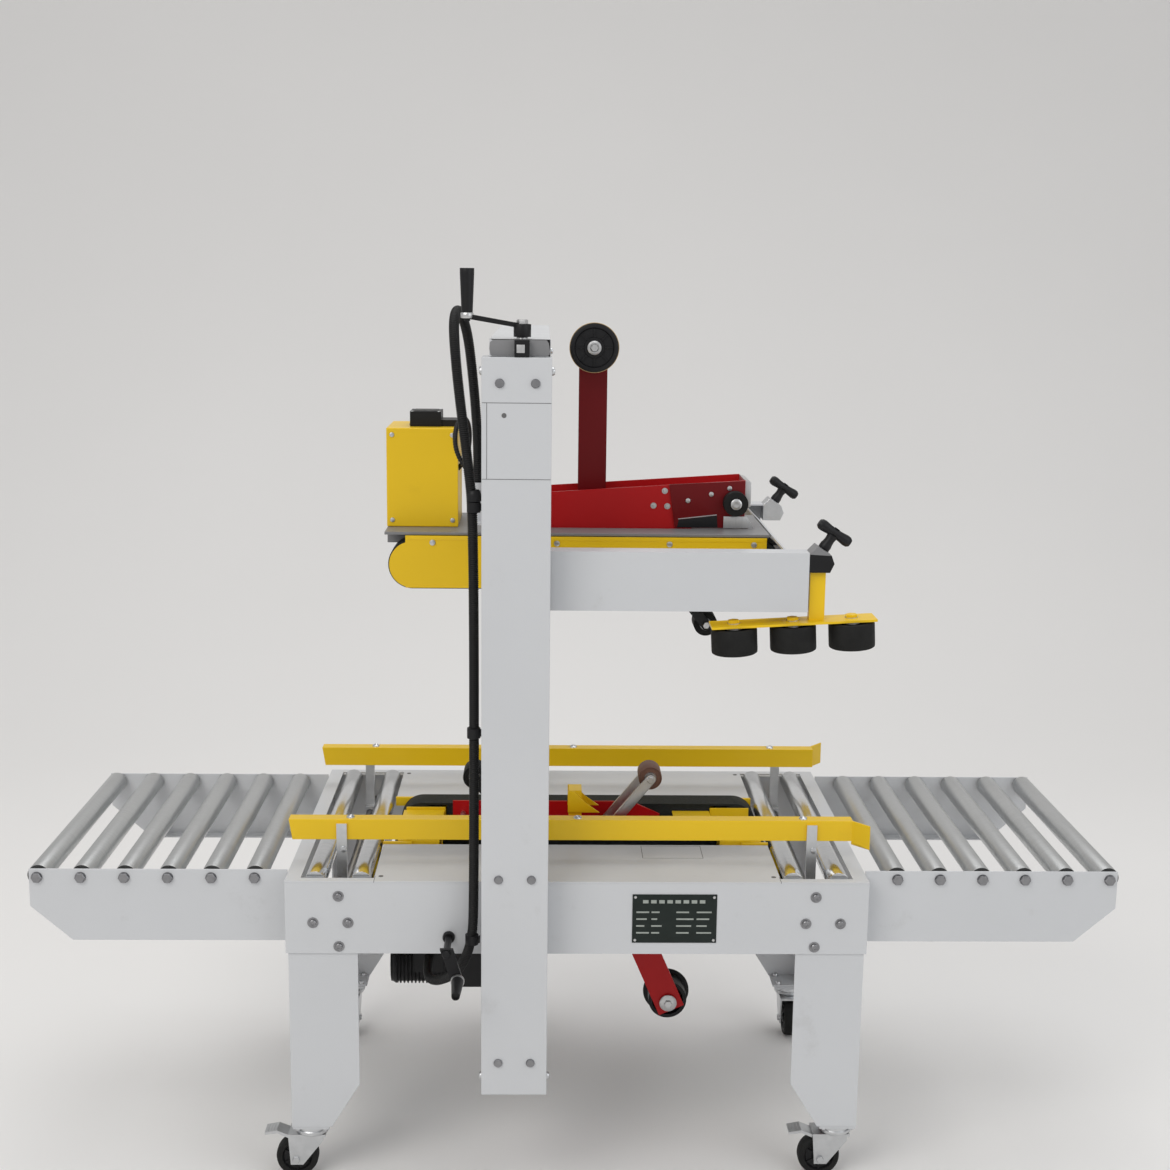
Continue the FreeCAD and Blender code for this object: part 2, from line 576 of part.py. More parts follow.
# Guide rails: rectangular tubes with a flared infeed end, on two posts and two screw nuts.
rail_out = plate("rail_out", "XZ_Plane", [
    ("-rail_half + 6", "rail_low"), ("-rail_half", "rail_high"), ("rail_half - 20", "rail_high"),
    ("rail_half - 20", "rail_low"),
], "-rail_outer", "rail_deep")
rail_in = box("rail_in", "-rail_half - 1", "rail_half - 10", "-rail_outer + 2",
"-rail_outer + rail_deep - 2",
              "rail_low + 2", "rail_high - 2")
flare = plate("flare", "XY_Plane", [
    ("rail_half - 22", "-rail_outer"), ("rail_half + 5", "-rail_outer - 30"),
    ("rail_half + 5", "-rail_outer - 26"),
    ("rail_half - 19", "-rail_outer + 2"), ("rail_half - 22", "-rail_outer + 2"),
], "rail_low - 6", "rail_high - rail_low + 6")
posts, nuts = [], []
for side, sign in (("left", -1), ("right", 1)):
    x0, x1 = f"{sign} * post_x - 9", f"{sign} * post_x + 9"
    posts.append(box(f"post_{side}", x0, x1, "-rail_outer - 5", "-rail_outer", "rail_screw_z + 14",
        "rail_high - 6"))
    block = box(f"nut_{side}", x0, x1, "-rail_outer - 28", "-rail_outer + 12", "rail_screw_z - 15",
        "rail_screw_z + 15")
    thread = rod(f"nut_bore_{side}", "y", f"{sign} * post_x", -300, "rail_screw_z",
        "rail_screw_radius + 0.06", 120)
    nuts.append(cut(f"nut_cut_{side}", block, thread))
rail = join("rail", cut("rail_tube", rail_out, rail_in), flare, *posts, *nuts)
node(group("rail_near", rail), "rail_front")
node(mirror("rail_far", rail, Vector(0, 1, 0)), "rail_rear")
for side, sign in (("left", -1), ("right", 1)):
    node(rod(f"rail_screw_{side}_rod", "y", f"{sign} * post_x", "-frame_half + 7", "rail_screw_z",
             "rail_screw_radius", "2 * frame_half - 14"), f"rail_screw_{side}")

# Side crank: a shaft through the front panel, a flat arm and a loose grip.
side_shaft = rod("side_shaft", "y", -222, -400, 462, 6, 74)
side_arm = plate("side_arm", "XZ_Plane", [(-233, 470), (-211, 470), (-194, 414), (-213, 408)], -400, 7)
side_pin = rod("side_pin", "y", -203, -462, 416, 5, 66)
side_metal = join("side_crank_weld", side_shaft, side_arm, side_pin)
side_grip = turned("side_grip", "y", [(5.06, -64), (7, -64), (10.5, -6), (10.5, 0), (5.06, 0)])
node(group("crank_low", side_metal, put(side_grip, -203, -402, 416)), "side_crank")

# Press rollers: a yellow post and plate carrying three rubber rollers on pins.
LEAN = -3.34
PLATE_TOP = Vector(357, 0, 1018)


def leaning(item):
    """Lean a piece with the roller plate, which rises towards the infeed."""
    turn = Placement(Vector(PLATE_TOP.x, S["press_y"], PLATE_TOP.z), Rotation(Vector(0, 1, 0), LEAN))
    item.Placement = turn.multiply(item.Placement)
    return item


press_plate = box("press_plate", -139, 139, -27, 27, -4, 0)
pins = []
for number in range(3):
    x = f"{number - 1} * press_pitch"
    pins.append(rod(f"press_pin_{number}", "z", x, 0, "-4 - press_high - 3", 6, "press_high + 7"))
    pins.append(rod(f"press_head_{number}", "z", x, 0, 0, 9, 5))
press_bed = leaning(join("press_bed", press_plate, *pins))
press_post = box("press_post", 383, 409, "press_y - 8", "press_y + 8", 1018, 1133)
node(join("press_weld", press_bed, press_post), "press_bracket")
for number in range(3):
    tread = rod(f"press_tread_{number}", "z", f"{number - 1} * press_pitch", 0, "-6 - press_high",
    "press_radius",
                "press_high")
    bore = rod(f"press_bore_{number}", "z", f"{number - 1} * press_pitch", 0, -60, 6.06, 60)
    node(leaning(cut(f"press_{number}", tread, bore)), f"press_roller_{number + 1}")


def tilted(item, y):
    """Stand a piece on the sloped top of a clamp."""
    item.Placement = Placement(Vector(404, y, 1140), Rotation(Vector(0, 1, 0), TILT))
    return item


def tee_knob(name, y):
    """A moulded T handle on a threaded stud."""
    stem = turned(f"{name}_stem", "z", [(0, 0.5), (10, 0.5), (10, 8), (7, 20), (9, 28), (0, 28)])
    bar = rod(f"{name}_bar", "x", -33, 0, 34, 8, 66)
    return tilted(join(name, stem, bar), y)


node(tee_knob("tee_front", -300), "knob_front")
node(tee_knob("tee_rear", 300), "knob_rear")


def castor(name, x, y, turn, braked):
    """A swivel castor: pressed fork, rubber wheel and, at the front, a brake tread plate."""
    head_disc = rod(f"{name}_head", "z", 0, 0, 84, 27, 14.7)
    crown = box(f"{name}_crown", "-trail - 14", 24, -21, 21, 80, 85)
    cheek = plate(f"{name}_cheek", "XZ_Plane", [
        ("-trail - 14", 82), (20, 82), (20, 74), ("-trail + 12", "wheel_radius - 10"),
        ("-trail - 10", "wheel_radius - 10"),
    ], -21, 3)
    far_cheek = mirror(f"{name}_cheek_far", cheek, Vector(0, 1, 0))
    pin = rod(f"{name}_axle", "y", "-trail", -24, "wheel_radius", 5, 48)
    parts = [join(f"{name}_metal", head_disc, crown, cheek, far_cheek, pin)]
    if braked:
        pedal = plate(f"{name}_pedal", "XZ_Plane", [
            ("-trail - 14", 76), ("-trail - 14", 82), ("-trail - 34", 90), ("-trail - 56", 86),
            ("-trail - 56", 82),
            ("-trail - 34", 85),
        ], -16, 32)
        parts.append(pedal)
    fork = group(f"{name}_fork", *parts)
    wheel = turned(f"{name}_wheel", "y", [
        (5.06, "-wheel_half"), ("wheel_radius - 4", "-wheel_half"), ("wheel_radius", "-wheel_half + 5"),
        ("wheel_radius", "wheel_half - 5"), ("wheel_radius - 4", "wheel_half"), (5.06, "wheel_half"),
    ])
    stand = Placement(Vector(x, y, 0), Rotation(Vector(0, 0, 1), turn))
    fork.Placement = stand
    wheel.Placement = stand.multiply(Placement(Vector(-S["trail"], 0, S["wheel_radius"]), Rotation()))
    return fork, wheel


for corner, x_sign, y_sign, turn in (("front_left", -1, -1, 0), ("front_right", 1, -1, 0),
                                     ("rear_left", -1, 1, 90), ("rear_right", 1, 1, 90)):
    fork, wheel = castor("castor_" + corner, x_sign * S["castor_x"], y_sign * S["castor_y"], turn,
                         y_sign < 0)
    node(fork, "castor_fork_" + corner)
    node(wheel, "castor_wheel_" + corner)

# Conduit: a ribbed tube from the lower motor up the front column, over in a narrow arch
# and down into the gland on the lifting head.
ROUTE = [
    (-272, -104, 328), (-272, -162, 328), (-263, -225, 339), (-240, -285, 363), (-205, -336, 402),
    (-181, -357, 462), (-177, -357, 540), (-177, -357, 1190), (-187, -357, 1290), (-200, -357, 1390),
    (-208, -353, 1470), (-211, -322, 1518), (-205, -275, 1532), (-192, -244, 1492), (-183, -236, 1410),
    (-177, -235, 1335), (-175, -238, 1285), (-175, -238, 1240),
]


def conduit_tube(points, radius):
    """Straight runs joined by arcs as large as the runs either side allow."""
    ends = [Vector(*point) for point in points]
    edges, start, radii = [], ends[0], []
    for before, corner, after in zip(ends, ends[1:], ends[2:]):
        back, ahead = before - corner, after - corner
        turn = math.pi - back.getAngle(ahead)
        reach = 0.45 * min(back.Length, ahead.Length)
        radii.append(reach / math.tan(turn / 2))
        back.normalize()
        ahead.normalize()
        first, last = corner + back * reach, corner + ahead * reach
        centre_way = (back + ahead).normalize()
        centre = corner + centre_way * math.hypot(reach, radii[-1])
        middle = centre - centre_way * radii[-1]
        edges.append(Part.LineSegment(start, first).toShape())
        edges.append(Part.Arc(first, middle, last).toShape())
        start = last
    edges.append(Part.LineSegment(start, ends[-1]).toShape())
    path = Part.Wire(edges)
    ring = Part.Wire(Part.Circle(ends[0], ends[1] - ends[0], radius).toShape())
    tube = path.makePipeShell([ring], True, False)
    print("conduit radii", [round(value) for value in radii], "length", round(path.Length))
    print("conduit volume ratio", round(tube.Volume / (math.pi * radius ** 2 * path.Length), 4))
    return tube


conduit = doc.addObject("Part::Feature", "conduit_tube")
conduit.Shape = conduit_tube(ROUTE, S["conduit_radius"])
node(conduit, "conduit")

doc.recompute()

bad = [item.Name for item in doc.Objects if "Invalid" in item.State or "Error" in item.State]
if bad:
    raise RuntimeError("these objects failed: " + ", ".join(bad))
os.makedirs("parts", exist_ok=True)
for item in NODES:
    shape = item.Shape
    if shape.isNull() or not shape.isValid() or not shape.Solids:
        raise RuntimeError("no valid solid in " + item.Label)
    shape.exportStep(os.path.join("parts", item.Label + ".step"))
print(len(NODES), "nodes written")
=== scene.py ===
import math

import bmesh
import bpy
from mathutils import Matrix, Vector


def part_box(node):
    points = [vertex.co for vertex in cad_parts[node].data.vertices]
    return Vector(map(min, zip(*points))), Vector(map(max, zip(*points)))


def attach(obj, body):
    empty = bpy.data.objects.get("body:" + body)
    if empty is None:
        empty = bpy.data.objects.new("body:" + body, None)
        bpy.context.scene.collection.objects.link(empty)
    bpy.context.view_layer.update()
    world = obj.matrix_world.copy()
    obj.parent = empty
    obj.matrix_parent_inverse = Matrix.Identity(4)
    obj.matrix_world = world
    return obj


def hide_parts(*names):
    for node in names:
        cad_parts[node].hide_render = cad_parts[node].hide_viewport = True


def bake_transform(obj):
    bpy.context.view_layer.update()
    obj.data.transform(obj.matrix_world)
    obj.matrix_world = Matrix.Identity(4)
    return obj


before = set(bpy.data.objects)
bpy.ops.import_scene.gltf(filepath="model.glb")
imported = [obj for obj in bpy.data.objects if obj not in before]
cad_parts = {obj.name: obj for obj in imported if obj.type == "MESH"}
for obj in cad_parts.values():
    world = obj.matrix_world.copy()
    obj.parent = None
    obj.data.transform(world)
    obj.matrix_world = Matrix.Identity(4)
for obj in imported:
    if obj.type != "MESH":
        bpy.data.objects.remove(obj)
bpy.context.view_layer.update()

# The view: a camera at eye height in front of the machine, turned and tipped a little. Three
# large soft lamps stand at the front left, at the front right and above, under a pale even sky.
EYE = Vector((-0.0638, -3.0282, 1.5867))
YAW, PITCH, ROLL = (math.radians(angle) for angle in (1.47, 10.6, 0.69))
FOCAL_LENGTH, FILM_WIDTH = 51.02, 36
ahead = Vector((math.sin(YAW) * math.cos(PITCH), math.cos(YAW) * math.cos(PITCH), -math.sin(PITCH)))
level = Vector((math.cos(YAW), -math.sin(YAW), 0))
over = level.cross(ahead)
right = math.cos(ROLL) * level + math.sin(ROLL) * over
up = -math.sin(ROLL) * level + math.cos(ROLL) * over
lens = bpy.data.cameras.new("eye")
lens.lens, lens.sensor_width = FOCAL_LENGTH, FILM_WIDTH
camera = bpy.data.objects.new("eye", lens)
camera.matrix_world = Matrix.Translation(EYE) @ Matrix((right, up, -ahead)).transposed().to_4x4()
bpy.context.scene.collection.objects.link(camera)
bpy.context.scene.camera = camera
bpy.context.scene.view_settings.view_transform = "Standard"


def lamp(name, place, target, size, watts, colour):
    light = bpy.data.lights.new(name, "AREA")
    light.size, light.energy, light.color = size, watts, colour
    lit = bpy.data.objects.new(name, light)
    lit.location = place
    lit.rotation_euler = (Vector(target) - Vector(place)).to_track_quat("-Z", "Y").to_euler()
    bpy.context.scene.collection.objects.link(lit)


lamp("key", (-2.6, -3.6, 4.2), (0, 0, 0.8), 3.0, 95, (1, 0.98, 0.95))
lamp("fill", (3.4, -3.0, 2.6), (0, 0, 0.8), 3.0, 36, (0.94, 0.97, 1))
lamp("top", (0.2, 0.8, 4.6), (0, 0, 0.6), 3.2, 60, (1, 1, 1))
sky = bpy.data.worlds.new("studio")
sky.use_nodes = True
sky.node_tree.nodes["Background"].inputs["Color"].default_value = (0.93, 0.93, 0.94, 1)
sky.node_tree.nodes["Background"].inputs["Strength"].default_value = 0.62
bpy.context.scene.world = sky

# Floor: one sheet of pale matt paper that runs back from under the machine and curves up behind
# it, so that the machine stands in front of a single even tone.


class Signal:
    """A shader socket that can be used in Python expressions."""

    def __init__(self, tree, socket=None):
        self.tree = tree
        self.socket = socket

    def node(self, kind, settings=None, inputs=None, out=0):
        """Any node: its settings first, then the values or links of its sockets."""
        made = self.tree.nodes.new(kind)
        for key, value in (settings or {}).items():
            setattr(made, key, value)
        for key, value in (inputs or {}).items():
            if isinstance(value, Signal):
                self.tree.links.new(value.socket, made.inputs[key])
            else:
                made.inputs[key].default_value = value
        return Signal(self.tree, made.outputs[out])

    def maths(self, operation, first, second):
        return self.node("ShaderNodeMath", {"operation": operation}, {0: first, 1: second})

    def __add__(self, other):
        return self.maths("ADD", self, other)

    def __radd__(self, other):
        return self.maths("ADD", other, self)

    def __mul__(self, other):
        return self.maths("MULTIPLY", self, other)

    def __rmul__(self, other):
        return self.maths("MULTIPLY", other, self)

    def above(self, edge, soft):
        """0 below the edge, 1 above it, over a soft width."""
        span = {"Value": self, "From Min": edge - soft, "From Max": edge + soft}
        return self.node("ShaderNodeMapRange", {}, span)

    def mix(self, first, second):
        """A colour between two others, with this signal as the share of the second."""
        ends = {6: first, 7: second}
        ends = {key: end if isinstance(end, Signal) else (*end, 1) for key, end in ends.items()}
        return self.node("ShaderNodeMix", {"data_type": "RGBA"}, {0: self, **ends}, out=2)

    def wave(self, scale, stretch, turn):
        """Even stripes along the axis that stretch keeps, which turn lays on the wave's own X."""
        place = self.node("ShaderNodeTexCoord", out=3)
        laid = self.node("ShaderNodeMapping", {}, {"Vector": place, "Scale": stretch, "Rotation": turn})
        return self.node("ShaderNodeTexWave", {}, {"Vector": laid, "Scale": scale}, out=1)

    def cloud(self, scale, stretch=(1, 1, 1), detail=3.0, rough=0.55):
        """Soft noise over the piece, from 0 to 1."""
        place = self.node("ShaderNodeTexCoord", out=3)
        laid = self.node("ShaderNodeMapping", {}, {"Vector": place, "Scale": stretch})
        return self.node("ShaderNodeTexNoise", {},
                         {"Vector": laid, "Scale": scale, "Detail": detail, "Roughness": rough})


def finish(name, colour, rough, metal=0.0, coat=0.0, gloss=0.5, height=None, depth=0.0):
    """A material. Colour, height and an uneven rough are functions of a blank signal."""
    made = bpy.data.materials.new(name)
    made.use_nodes = True
    blank = Signal(made.node_tree)
    shader = made.node_tree.nodes["Principled BSDF"]
    made.node_tree.links.new(colour(blank).socket, shader.inputs["Base Color"])
    if callable(rough):
        made.node_tree.links.new(rough(blank).socket, shader.inputs["Roughness"])
    else:
        shader.inputs["Roughness"].default_value = rough
    for key, value in (("Metallic", metal), ("Coat Weight", coat), ("Specular IOR Level", gloss)):
        shader.inputs[key].default_value = value
    if height:
        bump = blank.node("ShaderNodeBump", {}, {"Height": height(blank), "Distance": depth, "Strength": 1.0})
        made.node_tree.links.new(bump.socket, shader.inputs["Normal"])
    return made


FLOOR_HALF, FLOOR_NEAR, FLOOR_FAR, BEND, WALL_TOP, BEND_STEPS = 12.0, -9.0, 2.2, 4.0, 9.0, 16
bend_angles = [step * math.pi / (2 * BEND_STEPS) for step in range(1, BEND_STEPS + 1)]
sweep_line = [(FLOOR_NEAR, 0.0), (FLOOR_FAR, 0.0)]
sweep_line += [(FLOOR_FAR + BEND * math.sin(a), BEND - BEND * math.cos(a)) for a in bend_angles]
sweep_line.append((FLOOR_FAR + BEND, WALL_TOP))
sheet = bmesh.new()
rows = [[sheet.verts.new((x, y, z)) for x in (-FLOOR_HALF, FLOOR_HALF)] for y, z in sweep_line]
for near, far in zip(rows, rows[1:]):
    sheet.faces.new((near[0], near[1], far[1], far[0]))
paper = bpy.data.meshes.new("studio_floor")
sheet.to_mesh(paper)
sheet.free()
paper.shade_smooth()
paper.materials.append(finish(
    "studio_paper", lambda blank: blank.cloud(0.6).mix((0.80, 0.79, 0.775), (0.84, 0.83, 0.815)), 0.95))
floor = bpy.data.objects.new("studio_floor", paper)
bpy.context.scene.collection.objects.link(floor)

# Castors: pressed zinc forks that swivel under the legs, each with a black rubber tyre on a
# plastic centre. The front pair have a steel tread plate that locks the wheel.


def dress(node, *finishes, zones=(), rim=0.0007):
    """Finish a CAD node and soften its edges. A zone is (finish number, low corner, high corner)."""
    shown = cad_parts[node]
    shown.data.materials.clear()
    for item in finishes:
        shown.data.materials.append(item)
    for face in shown.data.polygons:
        face.material_index = 0
        for number, low, high in zones:
            if all(a <= c <= b for a, c, b in zip(low, face.center, high)):
                face.material_index = number
    weld = shown.modifiers.new("weld", "WELD")
    weld.merge_threshold = 0.00001
    bevel = shown.modifiers.new("rim", "BEVEL")
    bevel.width, bevel.segments, bevel.limit_method = rim, 2, "ANGLE"
    bevel.angle_limit = math.radians(40)


def piece(name, built, body, slot, *finishes, stands_for=(), crease=38):
    """Turn built geometry into an object that rides on a CAD body."""
    bmesh.ops.recalc_face_normals(built, faces=built.faces)
    data = bpy.data.meshes.new(name)
    built.to_mesh(data)
    built.free()
    for item in finishes:
        data.materials.append(item)
    data.shade_smooth()
    data.set_sharp_from_angle(angle=math.radians(crease))
    made = bpy.data.objects.new(name, data)
    bpy.context.scene.collection.objects.link(made)
    if body:
        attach(made, body)
    if stands_for:
        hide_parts(*stands_for)
    return made


def turn(built, outline, centre, axis=(0, 0, 1), steps=32, mat=0):
    """Spin (radius, height) or (radius, height, finish) points about an axis through the centre."""
    aim = Vector(axis).to_track_quat("Z", "Y").to_matrix()
    rings = []
    for radius, height, *_ in outline:
        if radius < 1e-6:
            rings.append([built.verts.new(Vector(centre) + aim @ Vector((0, 0, height)))])
            continue
        rings.append([
            built.verts.new(Vector(centre) + aim @ Vector((radius * math.cos(a), radius * math.sin(a), height)))
            for a in (2 * math.pi * step / steps for step in range(steps))
        ])
    for point, low, high in zip(outline, rings, rings[1:]):
        for step in range(steps):
            after = (step + 1) % steps
            if len(low) == 1:
                corners = (low[0], high[step], high[after])
            elif len(high) == 1:
                corners = (low[step], low[after], high[0])
            else:
                corners = (low[step], low[after], high[after], high[step])
            built.faces.new(corners).material_index = point[2] if len(point) > 2 else mat


def bevelled(built, faces, rim, mat):
    """Give new faces their finish and round off the edges between them."""
    edges = list(dict.fromkeys(edge for face in faces for edge in face.edges if edge.is_manifold))
    for face in faces:
        face.material_index = mat
    if rim:
        bmesh.ops.bevel(built, geom=edges, offset=rim, segments=2, profile=0.6, affect="EDGES", material=-1)


def block(built, low, high, mat=0, rim=0.0006, aim=None, about=(0, 0, 0)):
    """A box with softened edges, turned by a matrix about a point if one is given."""
    corners = [
        Vector((x, y, z)) for x in (low[0], high[0]) for y in (low[1], high[1]) for z in (low[2], high[2])
    ]
    if aim is not None:
        corners = [Vector(about) + aim @ corner for corner in corners]
    v = [built.verts.new(corner) for corner in corners]
    sides = [(0, 1, 3, 2), (4, 6, 7, 5), (0, 4, 5, 1), (2, 3, 7, 6), (0, 2, 6, 4), (1, 5, 7, 3)]
    bevelled(built, [built.faces.new([v[i] for i in side]) for side in sides], rim, mat)


def hexagon(built, centre, axis, across, high, mat=0):
    """A hexagon head with a chamfered crown, standing on the centre point."""
    reach = across / 2 / math.cos(math.pi / 6)
    crown = [(0, 0), (reach, 0), (reach, high * 0.75), (reach * 0.86, high), (0, high)]
    turn(built, crown, centre, axis, 6, mat)


zinc = finish(
    "bright_zinc", lambda blank: blank.cloud(60.0).mix((0.50, 0.51, 0.52), (0.68, 0.69, 0.70)),
    lambda blank: 0.24 + blank.cloud(25.0) * 0.18, metal=1.0,
    height=lambda blank: blank.cloud(260.0), depth=0.00012)
tyre_rubber = finish(
    "tyre_rubber", lambda blank: blank.cloud(40.0).mix((0.006, 0.006, 0.006), (0.016, 0.016, 0.015)),
    lambda blank: 0.55 + blank.cloud(90.0) * 0.25, gloss=0.22,
    height=lambda blank: blank.cloud(500.0), depth=0.0002)
black_plastic = finish(
    "black_plastic", lambda blank: blank.cloud(30.0).mix((0.005, 0.005, 0.006), (0.011, 0.011, 0.012)),
    lambda blank: 0.34 + blank.cloud(50.0) * 0.14, gloss=0.28,
    height=lambda blank: blank.cloud(900.0, detail=1.0), depth=0.00008)
CASTOR_X, CASTOR_Y = 0.466, 0.292
RACE_Z, SPOKES, TREAD_RIDGES, RIDGE_PITCH = 0.0855, 6, 4, 0.0052
WHEEL_OUTLINE = [
    (0.0052, -0.0136, 1), (0.0095, -0.0136, 1), (0.0115, -0.0085, 1), (0.0235, -0.0085, 1),
    (0.0262, -0.0128, 0), (0.0330, -0.0134, 0), (0.0360, -0.0112, 0), (0.0374, -0.0060, 0),
    (0.0374, 0.0060, 0), (0.0360, 0.0112, 0), (0.0330, 0.0134, 0), (0.0262, 0.0128, 1),
    (0.0235, 0.0085, 1), (0.0115, 0.0085, 1), (0.0095, 0.0136, 1), (0.0052, 0.0136, 1),
    (0.0052, -0.0136, 1),
]
BALL_RACE = [(0.0275, 0), (0.0290, 0.0015), (0.0290, 0.0065), (0.0275, 0.008), (0.0268, 0.008), (0.0268, 0)]
for corner in ("front_left", "front_right", "rear_left", "rear_right"):
    braked = corner.startswith("front")
    low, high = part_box("castor_wheel_" + corner)
    hub = (low + high) / 2
    axle = Vector((0, 1, 0)) if braked else Vector((1, 0, 0))
    wheel = bmesh.new()
    turn(wheel, WHEEL_OUTLINE, hub, axle, 56)
    spoke_x, spoke_y = (0.0016, 0.0110) if braked else (0.0110, 0.0016)
    for spoke in range(SPOKES):
        aim = Matrix.Rotation(spoke * math.pi / 3, 3, axle)
        block(wheel, (-spoke_x, -spoke_y, 0.0110), (spoke_x, spoke_y, 0.0245), 1, 0.0004, aim, hub)
    piece("castor_tyre_" + corner, wheel, "wheel_" + corner, "castor_rubber", tyre_rubber, black_plastic,
          stands_for=("castor_wheel_" + corner,))
    dress("castor_fork_" + corner, zinc, rim=0.0009)
    swivel_x = CASTOR_X if "right" in corner else -CASTOR_X
    swivel_y = -CASTOR_Y if braked else CASTOR_Y
    trim = bmesh.new()
    turn(trim, BALL_RACE, (swivel_x, swivel_y, RACE_Z), steps=48)
    for side in (-1, 1):
        hexagon(trim, hub + axle * side * 0.0205, axle * side, 0.012, 0.0045)
    for ridge in range(TREAD_RIDGES if braked else 0):
        x = swivel_x - 0.064 - ridge * RIDGE_PITCH
        block(trim, (x, swivel_y - 0.0135, 0.0863 - ridge * 0.0006),
              (x + 0.0022, swivel_y + 0.0135, 0.0902 - ridge * 0.0009))
    piece("castor_trim_" + corner, trim, "swivel_" + corner, "castor_zinc", zinc)

# Legs: folded sheet steel, tapered to the foot and bolted inside the side panels. Four bolts
# hold each castor's top plate to the welded sole.


def paint(name, colour, rough=0.38, grime=(0.62, 0.60, 0.57), coat=0.06, gloss=0.5):
    """Sprayed powder coat: faint cloudiness, a little handling grime and a fine orange peel."""
    darker = tuple(channel * 0.90 for channel in colour)
    worn = tuple(channel * soil for channel, soil in zip(colour, grime))

    def tint(blank):
        clean = blank.cloud(3.0, detail=5.0).mix(darker, colour)
        marks = blank.cloud(9.0, detail=8.0, rough=0.7).above(0.70, 0.09) * 0.35
        return marks.mix(clean, worn)

    return finish(name, tint, lambda blank: rough - 0.08 + blank.cloud(14.0) * 0.16, coat=coat, gloss=gloss,
                  height=lambda blank: blank.cloud(700.0, detail=1.0), depth=0.00012)


white = paint("off_white_coat", (0.60, 0.612, 0.628))
dress("legs", white, rim=0.0009)
SOLE_UNDER, SOLE_TOP = 0.099, 0.109
DOME_NUT = [(0, 0), (0.0052, 0), (0.0052, 0.004), (0.0040, 0.006), (0, 0.006)]
feet = bmesh.new()
for x in (-CASTOR_X, CASTOR_X):
    for y in (-CASTOR_Y, CASTOR_Y):
        for dx in (-0.024, 0.024):
            for dy in (-0.020, 0.020):
                hexagon(feet, (x + dx, y + dy, SOLE_UNDER), (0, 0, -1), 0.010, 0.0045)
                turn(feet, DOME_NUT, (x + dx, y + dy, SOLE_TOP), steps=16)
piece("castor_bolts", feet, "frame", "zinc", zinc)

# Main frame: two folded side panels with end channels, under a flat deck that is slotted for
# the rollers, the belts and the tape head. A joint line runs round the near service lid.
PANEL_Y = 0.325
dress("base_frame", white, rim=0.0009)
dress("deck_plate", white, rim=0.0004)
shadow = finish("shadow_gap", lambda blank: blank.cloud(50.0).mix((0.10, 0.10, 0.10), (0.16, 0.16, 0.16)), 0.7)
deck_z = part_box("deck_plate")[1].z
GAP, PROUD = 0.0005, 0.0002
seams = bmesh.new()
lid = [(0.118, -0.206), (0.226, -0.206), (0.226, -0.142), (0.118, -0.142)]
for (x0, y0), (x1, y1) in zip(lid, lid[1:] + lid[:1]):
    block(seams, (min(x0, x1) - GAP, min(y0, y1) - GAP, deck_z - 0.001),
          (max(x0, x1) + GAP, max(y0, y1) + GAP, deck_z + PROUD), rim=0)
for x in (-0.34, 0.34):
    for y in (-0.30, 0.30):
        turn(seams, [(0, 0), (0.0042, 0), (0.0042, 0.0004), (0, 0.0004)], (x, y, deck_z), steps=20)
for x in (-0.35, 0.35):
    block(seams, (x - 0.0004, -PANEL_Y - PROUD, 0.5595), (x + 0.0004, -0.30, deck_z + PROUD), rim=0)
piece("deck_seams", seams, "frame", "cream_paint", shadow)

# Roller tables: folded side plates bolted to the frame's ends. Zinc-plated tube rollers turn
# on fixed axles whose hexagon ends show outside the plates.
ROLLERS, ROLLER_PITCH = 6, 0.075
FIRST_AXLE_X, AXLE_END_Y, AXLE_Z = 0.561, 0.280, 0.551
COLUMN_Y = 0.385
dress("extension_side_plates", white, rim=0.0009)
roller_steel = finish(
    "roller_steel", lambda blank: blank.cloud(30.0, (1, 12, 1)).mix((0.50, 0.51, 0.51), (0.66, 0.67, 0.67)),
    lambda blank: 0.30 + blank.cloud(26.0, (1, 30, 1)) * 0.16, metal=1.0,
    height=lambda blank: blank.cloud(60.0, (1, 24, 1), detail=2.0), depth=0.00006)
bolt_steel = finish(
    "bolt_steel", lambda blank: blank.cloud(70.0).mix((0.20, 0.20, 0.21), (0.34, 0.34, 0.35)),
    lambda blank: 0.28 + blank.cloud(50.0) * 0.16, metal=1.0)
bearing_black = finish(
    "bearing_black", lambda blank: blank.cloud(60.0).mix((0.03, 0.03, 0.03), (0.06, 0.06, 0.06)), 0.5)
for table in ("infeed", "outfeed"):
    for number in range(1, ROLLERS + 1):
        name = f"{table}_roller_{number}"
        low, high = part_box(name)
        ends = [(1, low, (high.x, low.y + 0.0006, high.z)), (1, (low.x, high.y - 0.0006, low.z), high)]
        dress(name, roller_steel, bearing_black, zones=ends, rim=0.0006)
dress("axles_and_bolts", bolt_steel, rim=0.0004)
WASHER = [(0, 0.0), (0.0098, 0.0), (0.0098, 0.0012), (0, 0.0012)]
PLATE_WASHER = [(0, 0), (0.0095, 0), (0.0095, 0.0010), (0, 0.0010)]
SOCKET_HEAD = [
    (0.0062, 0.001), (0.0062, 0.0036), (0.0048, 0.0048), (0.0030, 0.0048), (0.0030, 0.0020), (0, 0.0020)]
COLUMN_HEAD = [
    (0.0075, 0), (0.0075, 0.0016), (0.0062, 0.0034), (0.0034, 0.0040), (0.0030, 0.0020), (0, 0.0020)]
heads = bmesh.new()
